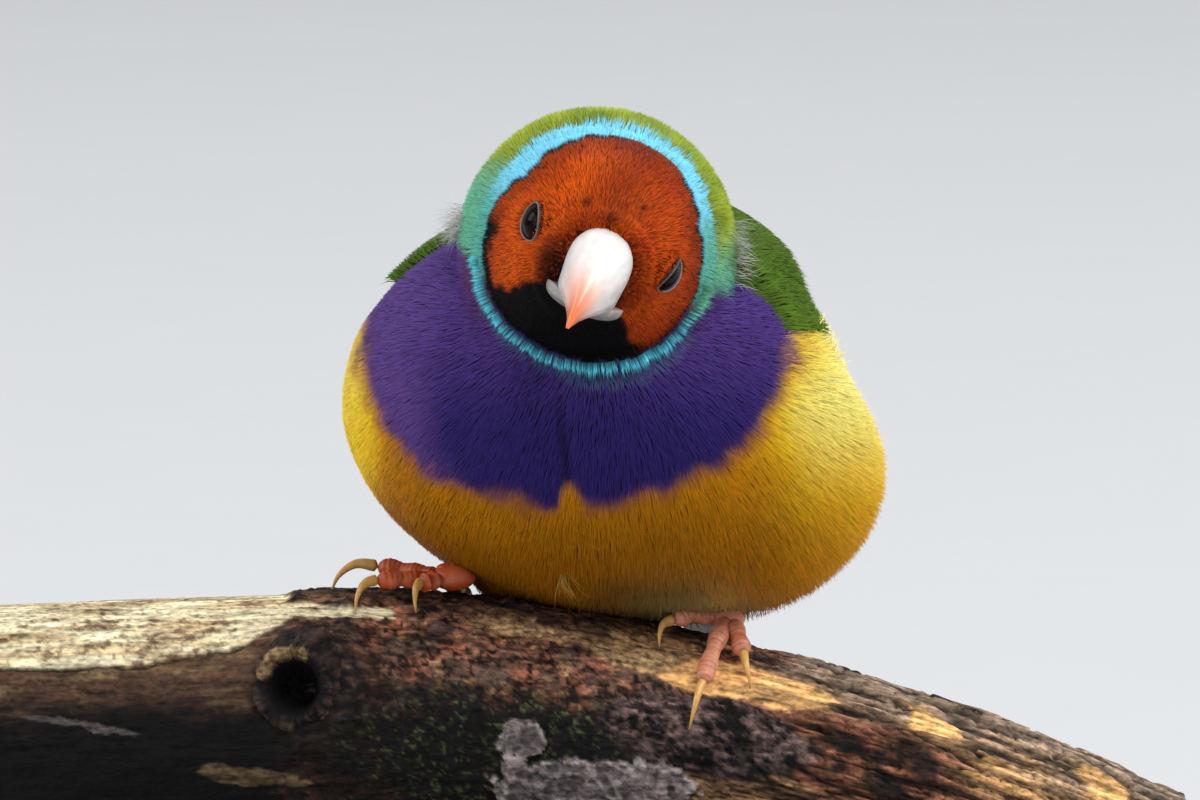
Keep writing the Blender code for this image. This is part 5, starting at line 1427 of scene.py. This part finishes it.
def split_lines(flat, size, seed, thin=0.07):
    """Thin cracks along the branch: exp(-(noise / thin) squared) of noise stretched fourteen times."""
    there = step(-0.3, 0.2, noise(flat * (0.4, 1, 1), 4.0, seed + 1))
    return bell(fractal(flat * (0.07, 1, 1), size, seed, 2) / thin) * there


# %% The grain of the wood
def grain_maps(x, arc):
    """Noises on the branch laid flat: streaks and hairs, lumps and grit, flaked layers, chips and splits."""
    flat = np.stack([x, arc, 0 * x], axis=-1)
    along = flat * (0.15, 1.0, 1.0)
    layers, undercut = terraces(0.5 * fractal(flat * (0.13, 1, 1), 2.6, 125, 4))
    chips, chip_edge = terraces(0.5 * fractal(flat * (0.35, 1, 1), 1.7, 126, 4), 2.0)
    return SimpleNamespace(
        flat=flat, along=along, layers=layers, undercut=undercut, chips=chips, chip_edge=chip_edge,
        streak=fractal(along, 1.3, 120),
        hair=fractal(along * (0.5, 1, 1), 0.45, 121, 2),
        lumps=fractal(flat, 2.6, 122, 5),
        grit=fractal(flat, 0.7, 123, 3),
        ragged=9 * fractal(flat * (0.6, 1, 1), 2.2, 124, 4),
        splits=np.maximum(split_lines(flat, 2.2, 127, 0.1), 0.8 * split_lines(flat, 1.0, 129)),
    )


# %% Where each kind of wood lies
CRACK_X, CRACK_Y = (0, 146, 229, 262, 300, 340), (667, 664, 647, 632, 612, 596)
PERCH_PIXEL = 610


def wood_zones(px, py, x, grain):
    """The share of each kind of wood at pixels px, py, with edges that the grain makes ragged."""
    below = py - (PERCH_PIXEL + PIXELS_PER_MM * smooth(x, PERCH_TOP_X, PERCH_TOP_DROP))
    qx, qy = px + 1.3 * grain.ragged, py + 0.6 * grain.ragged
    crack = py + 0.25 * grain.ragged - np.interp(px, CRACK_X, CRACK_Y)
    ridge = step(285, 300, qx) * step(660, 600, qx)
    ridge = ridge * step(16, 11, below + 0.7 * grain.ragged - 0.02 * (px - 300))
    bare = np.maximum(step(4, -3, crack) * step(335, 320, qx), patch(qx, qy, 345, 614, 58, 7, 2))
    bare = bare * (1 - ridge)
    gold = np.maximum(patch(qx, qy, 742, 684, 92, 17, 9), patch(qx, qy, 931, 723, 27, 12, 22))
    lumpy = patch(qx, qy, 705, 735, 104, 42, 10)
    from_knot = np.hypot(px - 303, 0.85 * (py - 684)) / PIXELS_PER_MM
    return SimpleNamespace(
        below=below, crack=crack, ridge=ridge, bare=bare, lumpy=lumpy,
        left_brown=step(300, 262, qx) * (1 - bare),
        knot=bell((px - 318) / 66, (py - 680) / 58),
        swirl=np.sin(2.4 * from_knot + 1.8 * noise(grain.flat, 3.0, 133)),
        pale=np.maximum(patch(qx, qy, 548, 631, 88, 11, 8), patch(qx, qy, 648, 652, 62, 22, 12)),
        gold=np.maximum(gold, patch(qx, qy, 1105, 786, 32, 12, 28)),
        fibrous=step(735, 790, qx + 0.8 * (py - 690)) * (1 - lumpy),
        mossy=patch(qx, qy, 500, 750, 150, 62, 0, 0.35),
        rotten=patch(qx, qy, 862, 764, 92, 40, 12),
        dry_flake=patch(qx, qy, 250, 776, 50, 11, 6),
        grey_ledge_highlight=patch(qx, qy, 84, 727, 60, 4, 9),
    )


# %% Colours of each kind of wood
def bare_colour(grain):
    """Bleached cream wood with drier streaks and umber specks."""
    return layered(
        CREAM,
        (DRY_WOOD, clip(0.25 + 0.42 * grain.streak + 0.3 * grain.hair)),
        (UMBER, 0.75 * step(0.5, 0.95, grain.grit + 0.6 * grain.streak)),
    )


def brown_colour(grain, zone):
    """Streaked brown wood under the crack, with painted shade at its foot."""
    brown = mix(UMBER, DRY_WOOD, clip(0.5 * grain.streak + 0.35 * grain.hair - 0.05, 0, 0.8)) * 0.6
    return mix(brown, BLACK_AND_SHADE, step(98, 132, zone.below + 1.4 * grain.ragged))


def bark_colour(grain, zone):
    """Chestnut to brown bark with tan flecks and black pits, painted shade below, and swirled round the knot.
    """
    return layered(
        1.45 * mix(CHESTNUT, BARK_BROWN, clip(0.5 + 0.7 * grain.lumps)),
        (TAN_WOOD, 0.75 * step(0.3, 1.0, fractal(grain.flat * (0.6, 1, 1), 1.1, 131))),
        (BLACK_AND_SHADE, 0.9 * step(0.25, 0.7, fractal(grain.flat, 0.55, 132, 3))),
        # Painted shade on the branch's underside.
        (BLACK_AND_SHADE, 0.85 * step(75, 120, zone.below + 1.5 * grain.ragged)),
        (mix(BARK_BROWN, BLACK_AND_SHADE, clip(0.7 + 0.25 * zone.swirl + 0.3 * grain.grit)), clip(1.5 * zone.knot)),
    )


def fibre_colour(grain, zone):
    """Tan to umber fibres, golden in places, grey on top and chestnut lower down."""
    return layered(
        0.85 * mix(TAN_WOOD, UMBER, clip(0.5 + 0.5 * grain.streak + 0.45 * grain.hair)),
        (GOLD_WOOD, 0.45 * step(0.35, 0.75, fractal(grain.along, 2.4, 134, 3))),
        (WOOD_GREY, 0.75 * step(60, 10, zone.below + 2 * grain.ragged)),
        (CHESTNUT, 0.7 * step(0.1, 0.6, fractal(grain.along, 3.6, 135, 3)) * step(10, 60, zone.below)),
    )


def wood_colours(grain, zone):
    """The kinds of wood laid over the bark, each by its zone."""
    streak, hair, lumps, grit = grain.streak, grain.hair, grain.lumps, grain.grit
    green = mix(BLACK_AND_SHADE, MOSS_GREEN, step(0.3, 0.8, fractal(grain.flat, 0.42, 136, 3)))
    tan = layered(
        TAN_WOOD, (DRY_WOOD, clip(0.5 + 0.5 * streak)), (UMBER, 0.8 * step(0.2, 0.7, grit + 0.4 * hair))
    )
    rotten = 1.3 * mix(CHESTNUT, BLACK_AND_SHADE, clip(0.45 + 0.8 * lumps + 0.4 * streak))
    violet = 1.2 * mix(BARK_VIOLET * (1.05, 0.9, 0.8), BLACK_AND_SHADE, clip(0.5 + 0.7 * lumps - 0.7 * grit))
    golden = mix(GOLD_WOOD, TAN_WOOD, clip(0.2 + 0.4 * streak + 0.35 * hair))
    return layered(
        bark_colour(grain, zone),
        (brown_colour(grain, zone), zone.left_brown),
        (bare_colour(grain), zone.bare),
        (fibre_colour(grain, zone), zone.fibrous),
        (green, 0.85 * zone.mossy),
        (tan, 0.9 * zone.pale),
        (rotten, 0.9 * zone.rotten),
        (violet, zone.lumpy),
        (golden, 0.9 * zone.gold),
        (mix(UMBER, BLACK_AND_SHADE, clip(0.4 + 0.6 * lumps)), 0.92 * zone.ridge),
        (DRY_WOOD * 0.7, 0.7 * zone.dry_flake),
        # A painted highlight: a thin bluish-grey line of light along a ledge in the dark lower bark.
        (WOOD_GREY * (0.7, 0.8, 0.95), 0.7 * zone.grey_ledge_highlight),
    )


# %% Flecks, relief and lichen
def flecks(grain, zone, rough):
    """Light and dark from 0.15 to 2.4: specks on rough bark and long threads on fibrous wood."""
    specks = fractal(grain.flat * (0.45, 1, 1), 0.55, 151, 3)
    threads = fractal(grain.flat * (0.07, 1, 1), 0.6, 152, 3)
    specks = rough * (1 - zone.fibrous) * (1 - 0.6 * zone.pale) * specks
    specks = specks + (0.3 + 0.7 * zone.fibrous * (1 - 0.6 * zone.gold)) * threads
    return clip(1 + 0.9 * specks, 0.15, 2.4)


def relief(px, grain, zone, rough):
    """Height in mm, and how much painted shade darkens the splits, the edges of the flakes and the long
    crack.
    """
    fibrous, left_brown, gold = zone.fibrous, zone.left_brown, zone.gold
    height = 0.06 * grain.streak + 0.04 * grain.hair - 0.15 * zone.bare - 0.12 * gold
    height = height + rough * (1 - fibrous) * (0.24 * grain.lumps + 0.10 * grain.grit)
    height = height + 0.12 * left_brown * grain.lumps
    height = height + 0.35 * zone.ridge + 0.12 * zone.knot * zone.swirl
    splinters = 0.30 * grain.layers + 0.10 * grain.chips + 0.14 * grain.streak + 0.08 * grain.hair
    height = height + fibrous * (1 - 0.7 * gold) * splinters
    height = height + zone.lumpy * 0.18 * grain.chips
    dark = fibrous * (0.9 * grain.undercut + 0.3 * grain.chip_edge)
    dark = dark + 0.45 * zone.lumpy * grain.chip_edge + 0.3 * rough * grain.chip_edge
    split = clip(1.2 * fibrous + 0.55 * left_brown + 0.45 * rough + 0.25 * zone.bare)
    dark = np.maximum(dark, grain.splits * split)
    long_crack = bell((zone.crack - 2.5) / 2.2) * step(262, 235, px)
    dark = clip(np.maximum(dark * (1 - 0.75 * gold), long_crack))
    return height - 0.45 * dark, dark


def lichen_crust(px, py, forward, grain):
    """Where the lichen's three lobes lie, their height in mm and their folded crust, palest at its edge."""
    lobes = 5.0 * fractal(grain.flat, 1.6, 141, 3)
    first = 24 - np.hypot((px - 522) / 1.15, (py - 738) / 0.72) + lobes
    second = 40 - np.hypot((px - 596) / 2.7, (py - 786) / 0.72) + lobes
    neck = 15 - np.hypot(px - 512, py - 768) + lobes
    inside = np.maximum(np.maximum(first, second), neck)
    fold = 1 - np.abs(fractal(grain.flat, 1.3, 142, 3))
    # Painted light and shade follow the crust's relief: paler where it stands high, darkened in its low
    # folds.
    pale = clip(step(12, 1, inside) * 0.7 + 0.5 * (fold - 0.6) + 0.3 * grain.grit)
    crust = mix(0.85 * mix(LICHEN_GREY, LICHEN_PALE, pale), BLACK_AND_SHADE, 0.45 * step(0.5, 0.2, fold))
    return step(0, 3, inside) * (forward > -38), 0.55 + 0.35 * fold, crust


def branch_maps(points, x, arc):
    """Height in mm and colour of the branch, from where a place is seen in front and its arc from the top."""
    right, up, forward = from_front(points)
    px, py = EYES_PIXEL[0] + PIXELS_PER_MM * right, EYES_PIXEL[1] - PIXELS_PER_MM * up
    grain = grain_maps(x, arc)
    zone = wood_zones(px, py, x, grain)
    rough = clip(1 - zone.bare - 0.8 * zone.left_brown - zone.gold)
    height, dark = relief(px, grain, zone, rough)
    colour = wood_colours(grain, zone) * flecks(grain, zone, rough)[..., None]
    # Painted shade darkens the splits, the undersides of the flakes' edges and the long crack.
    colour = mix(colour, 0.5 * BLACK_AND_SHADE, 0.85 * dark)
    # Painted shade darkens the branch's underside, less on the fibrous wood.
    colour = colour * (1 - 0.6 * (step(70, 130, zone.below) * (1 - 0.6 * zone.fibrous)))[..., None]
    lichen, thick, crust = lichen_crust(px, py, forward, grain)
    return height + lichen * thick, mix(colour, crust, lichen)


# %% The tube of wood
KNOT_X, KNOT_ANGLE = -31.0, 66.0
STATIONS, AROUND = 500, 210
CROWD_SHARES, CROWD_ANGLES = (0, 0.10, 0.80, 1.0), (-60.0, -16.0, 128.0, 300.0)
LEFT_END, RIGHT_END = -62.5, 60.5
x = np.linspace(LEFT_END, RIGHT_END, STATIONS)[:, None]
crowd = np.interp(np.linspace(0, 1, AROUND, endpoint=False), CROWD_SHARES, CROWD_ANGLES)
theta = np.radians(crowd)[None]
y, z, radius = perch_middle(x)
off = np.angle(np.exp(1j * (theta - math.radians(KNOT_ANGLE)))) * radius
swell = 1.7 * np.exp(-((x - KNOT_X) ** 2 + off**2) / (2 * 6.0**2))
uneven = 0.25 * np.abs(np.sin(3 * theta + x / 9.0)) * (np.abs(np.angle(np.exp(1j * (theta - math.pi)))) < 2.2)


def bark_at(height):
    """Points of the tube: its centre line plus the radius, knot, unevenness and height, at each angle."""
    r = radius + swell - uneven + height
    return np.stack(np.broadcast_arrays(x, y - r * np.sin(theta), z + r * np.cos(theta)), axis=-1)


arc = np.angle(np.exp(1j * theta)) * radius
height, colour = branch_maps(bark_at(0.0), x + 0 * theta, arc)
# The knot's hollow sinks 3.6 mm and is darkened nearly to black as painted shade inside it.
hollow = step(3.3, 2.5, np.hypot(x - KNOT_X + 0.3, off - 0.2))
height, colour = height - 3.6 * hollow, colour * (1 - 0.95 * hollow)[..., None]
wood = bark_at(height)
print(f"bark from {height.min():.2f} to {height.max():.2f} mm high")

# %% Cut ends and the hollow knot
def cut_end(ring, inwards, rings=14):
    """Rings that close an end: the outline drawn in to its middle, worn back a little, with year rings."""
    share = np.linspace(1, 0.02, rings)[1:, None, None]
    middle = ring.mean(axis=0)
    disc = middle + (ring - middle) * share
    wave = noise(disc * (0, 1, 1), 0.9, 95)
    disc = disc + np.array((inwards, 0, 0)) * (0.25 * (1 - share) + 0.12 * wave[..., None])
    years = 0.5 + 0.5 * np.sin(share[..., 0] * 60 + 2 * noise(disc, 3.0, 96))
    return disc, mix(TAN_WOOD, UMBER, clip(0.2 + 0.5 * years + 0.3 * wave))


left_disc, left_colour = cut_end(wood[0], 1.0)
right_disc, right_colour = cut_end(wood[-1], -1.0)
rings = np.concatenate([left_disc[::-1], wood, right_disc])[None]
branch = tube_part(rings, np.concatenate([left_colour[::-1], colour, right_colour])[None], high=(1, 0.85))
print("branch rings", rings.shape[1], "with", AROUND, "points each")

# %% The knot's rim
RIM_RADIUS = (5.6, 5.0, 4.4, 4.1, 3.9, 3.6, 3.2, 2.8, 2.4, 2.1, 1.9, 1.5, 0.8)
RIM_HEIGHT = (-2.0, -0.7, 0.4, 1.4, 2.2, 2.7, 2.8, 2.3, 1.2, 0.2, -0.8, -1.4, -1.5)
foot, lifted = on_perch([(KNOT_X, KNOT_ANGLE, 0.0), (KNOT_X - 0.6, KNOT_ANGLE + 3.0, 3.4)])
outwards = unit(lifted - foot)
first = unit(np.cross(outwards, (0, 0, 1.0)))
second = np.cross(outwards, first)
turn = np.linspace(0, 2 * math.pi, 132, endpoint=False)[None]
knots = np.arange(len(RIM_RADIUS))
at = np.linspace(0, knots[-1], 64)[:, None]
wall = np.stack(np.broadcast_arrays(at * 0.5, np.cos(turn) * 4, np.sin(turn) * 4), -1)
rough, fine = fractal(wall, 1.6, 97), fractal(wall * (0.5, 2, 2), 1.0, 98, 3)
r = smooth(at, knots, RIM_RADIUS) * (1 + 0.05 * rough + 0.03 * fine)
h = smooth(at, knots, RIM_HEIGHT) + (0.3 * rough + 0.2 * fine + 0.7 * np.cos(turn + 0.6)) * step(1, 5, at)
around = np.cos(turn)[..., None] * first + 1.12 * np.sin(turn)[..., None] * second
broken = step(4.2, 5.2, at) * step(8.6, 7.2, at) * step(0.5, 0.9, np.sin(turn + 2.6) + 0.3 * rough)
# The rim's wall darkens nearly to black where it goes down into the hollow: painted shade.
tone = layered(
    BLACK_AND_SHADE,
    (BARK_BROWN, clip(0.25 + 0.5 * rough + 0.5 * fine, 0, 0.8) * step(8, 5, at)),
    (mix(0.8 * DRY_WOOD, UMBER, clip(0.5 + 0.9 * fine)), 0.85 * broken),
) * (1 - 0.85 * step(7.0, 8.6, at))[..., None]
rim = tube_part((foot + h[..., None] * outwards + r[..., None] * around)[None], tone[None], (0, 0.86))

# %% Finish of the branch
bark_finish = new_finish("bark_and_wood", Roughness=0.85, Specular_IOR_Level=0.2)
fibres = stretched_noise(bark_finish, 1500.0, (0.14, 1.0, 1.0), 7.0)
grains = stretched_noise(bark_finish, 2200.0, (0.6, 1.0, 1.0), 5.0)
both = add(bark_finish, "ShaderNodeMath", {0: fibres, 1: grains}, operation="ADD")
tinted(bark_finish, ranged(bark_finish, both, 0.4, 1.6, Min=0.76, Max=1.24))
feed(bark_finish, "Roughness", ranged(bark_finish, grains, 0.7, 0.95))
bumpy(bark_finish, both, 0.9, 0.0003)
perch = make_piece("perch_wood", join([branch, rim]), bark_finish)
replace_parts(perch, "perch")

# %% [markdown]
# ## The stand
# The base is dark stained wood with its grain along its length, and the rods are steel brushed along their
# length. New meshes could take their places, but the solids already have the right shape, so they stay and
# only get a finish.

# %% Finishes of the stand
STAIN_DARK, STAIN_LIGHT, STEEL = seen((52, 30, 18), (116, 74, 42), (196, 194, 190))
stained = new_finish("stained_wood", Roughness=0.4, Coat_Weight=0.3, Coat_Roughness=0.25)
grain = stretched_noise(stained, 120.0, (0.12, 1.0, 1.0), 6.0)
ramp = add(stained, "ShaderNodeValToRGB", {"Fac": grain})
for stop, place, colour in zip(ramp.node.color_ramp.elements, (0.35, 0.7), (STAIN_DARK, STAIN_LIGHT)):
    stop.position, stop.color = place, (*colour, 1.0)
feed(stained, "Base Color", ramp)
bumpy(stained, stretched_noise(stained, 700.0, (0.1, 1.0, 1.0)), 0.2, 0.0001)
brushed = new_finish("brushed_steel", Metallic=1.0, Roughness=0.32)
lines = stretched_noise(brushed, 2500.0, (1.0, 1.0, 0.02))
feed(brushed, "Base Color", times(brushed, tuple(STEEL), ranged(brushed, lines, 0.85, 1.1)))
feed(brushed, "Roughness", ranged(brushed, lines, 0.24, 0.42))
bumpy(brushed, lines, 0.15, 0.00004)
for node, finish in (("stand_base", stained), ("stand_rod_left", brushed), ("stand_rod_right", brushed)):
    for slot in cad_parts[node].material_slots:
        slot.material = finish
    print(node, "now has", finish.name)

# %% [markdown]
# ## Stage, light and camera
# A pale floor runs far back so that no edge shows. One lamp would throw a hard shadow. The photo's soft
# daylight is a large key light from the front and above, and four weaker ones that fill the shadows. The
# camera stands where the photo's did.

# %% Stage, light and camera
FLOOR = ((-9000, -5000, 0), (9000, -5000, 0), (9000, 14000, 0), (-9000, 14000, 0))
LAMPS = (
    # name, place in metres, size in metres, watts
    ("key", (0.9, -1.6, 2.4), 1.4, 53.0),
    ("fill", (-2.0, -1.6, 1.0), 1.8, 18.0),
    ("back", (0.3, 2.2, 2.2), 1.6, 20.0),
    ("right", (2.2, -0.1, 1.3), 1.2, 24.0),
    ("left", (-2.2, 0.1, 1.3), 1.2, 16.0),
)
SENSOR, PAPER_GREY = 36.0, (0.62, 0.63, 0.64)
scene = bpy.context.scene


def put(name, data, rows=None, place=None):
    """An object with that data, in the scene, its own axes along the rows where they are given."""
    made = bpy.data.objects.new(name, data)
    if rows is not None:
        made.matrix_world = Matrix([(*rows[:, k], place[k]) for k in range(3)] + [(0, 0, 0, 1)])
    scene.collection.objects.link(made)
    return made


paper = new_finish("paper_floor", Roughness=0.9)
mottle = ranged(paper, stretched_noise(paper, 40.0), 0.97, 1.0)
feed(paper, "Base Color", times(paper, PAPER_GREY, mottle))
floor_mesh = bpy.data.meshes.new("floor")
floor_mesh.from_pydata([np.array(corner) * MM for corner in FLOOR], [], [(0, 1, 2, 3)])
floor_mesh.materials.append(paper)
floor = put("floor", floor_mesh)
for name, place, size, watts in LAMPS:
    lamp = bpy.data.lights.new(name, "AREA")
    lamp.energy, lamp.size = watts, size
    away = unit(np.array(place, float) - LOOK_AT * MM)
    aside = unit(np.cross((0.0, 0.0, 1.0), away))
    put(name, lamp, np.stack([aside, np.cross(away, aside), away]), place)
scene.world = bpy.data.worlds.new("studio")
scene.world.use_nodes = True
sky = scene.world.node_tree.nodes["Background"].inputs
sky["Color"].default_value, sky["Strength"].default_value = (0.93, 0.95, 1.0, 1.0), 0.42
lens = bpy.data.cameras.new("camera")
lens.sensor_width, lens.clip_start = SENSOR, 0.01
lens.lens = SENSOR * LOOK_FROM / (PICTURE_WIDTH / PIXELS_PER_MM)
forward, right, up = TO_VIEWER
scene.camera = put("camera", lens, np.stack([right, up, forward]), (LOOK_AT + LOOK_FROM * forward) * MM)
scene.view_settings.view_transform = "Standard"
print(len(LAMPS), "lamps, lens", round(lens.lens), "mm")
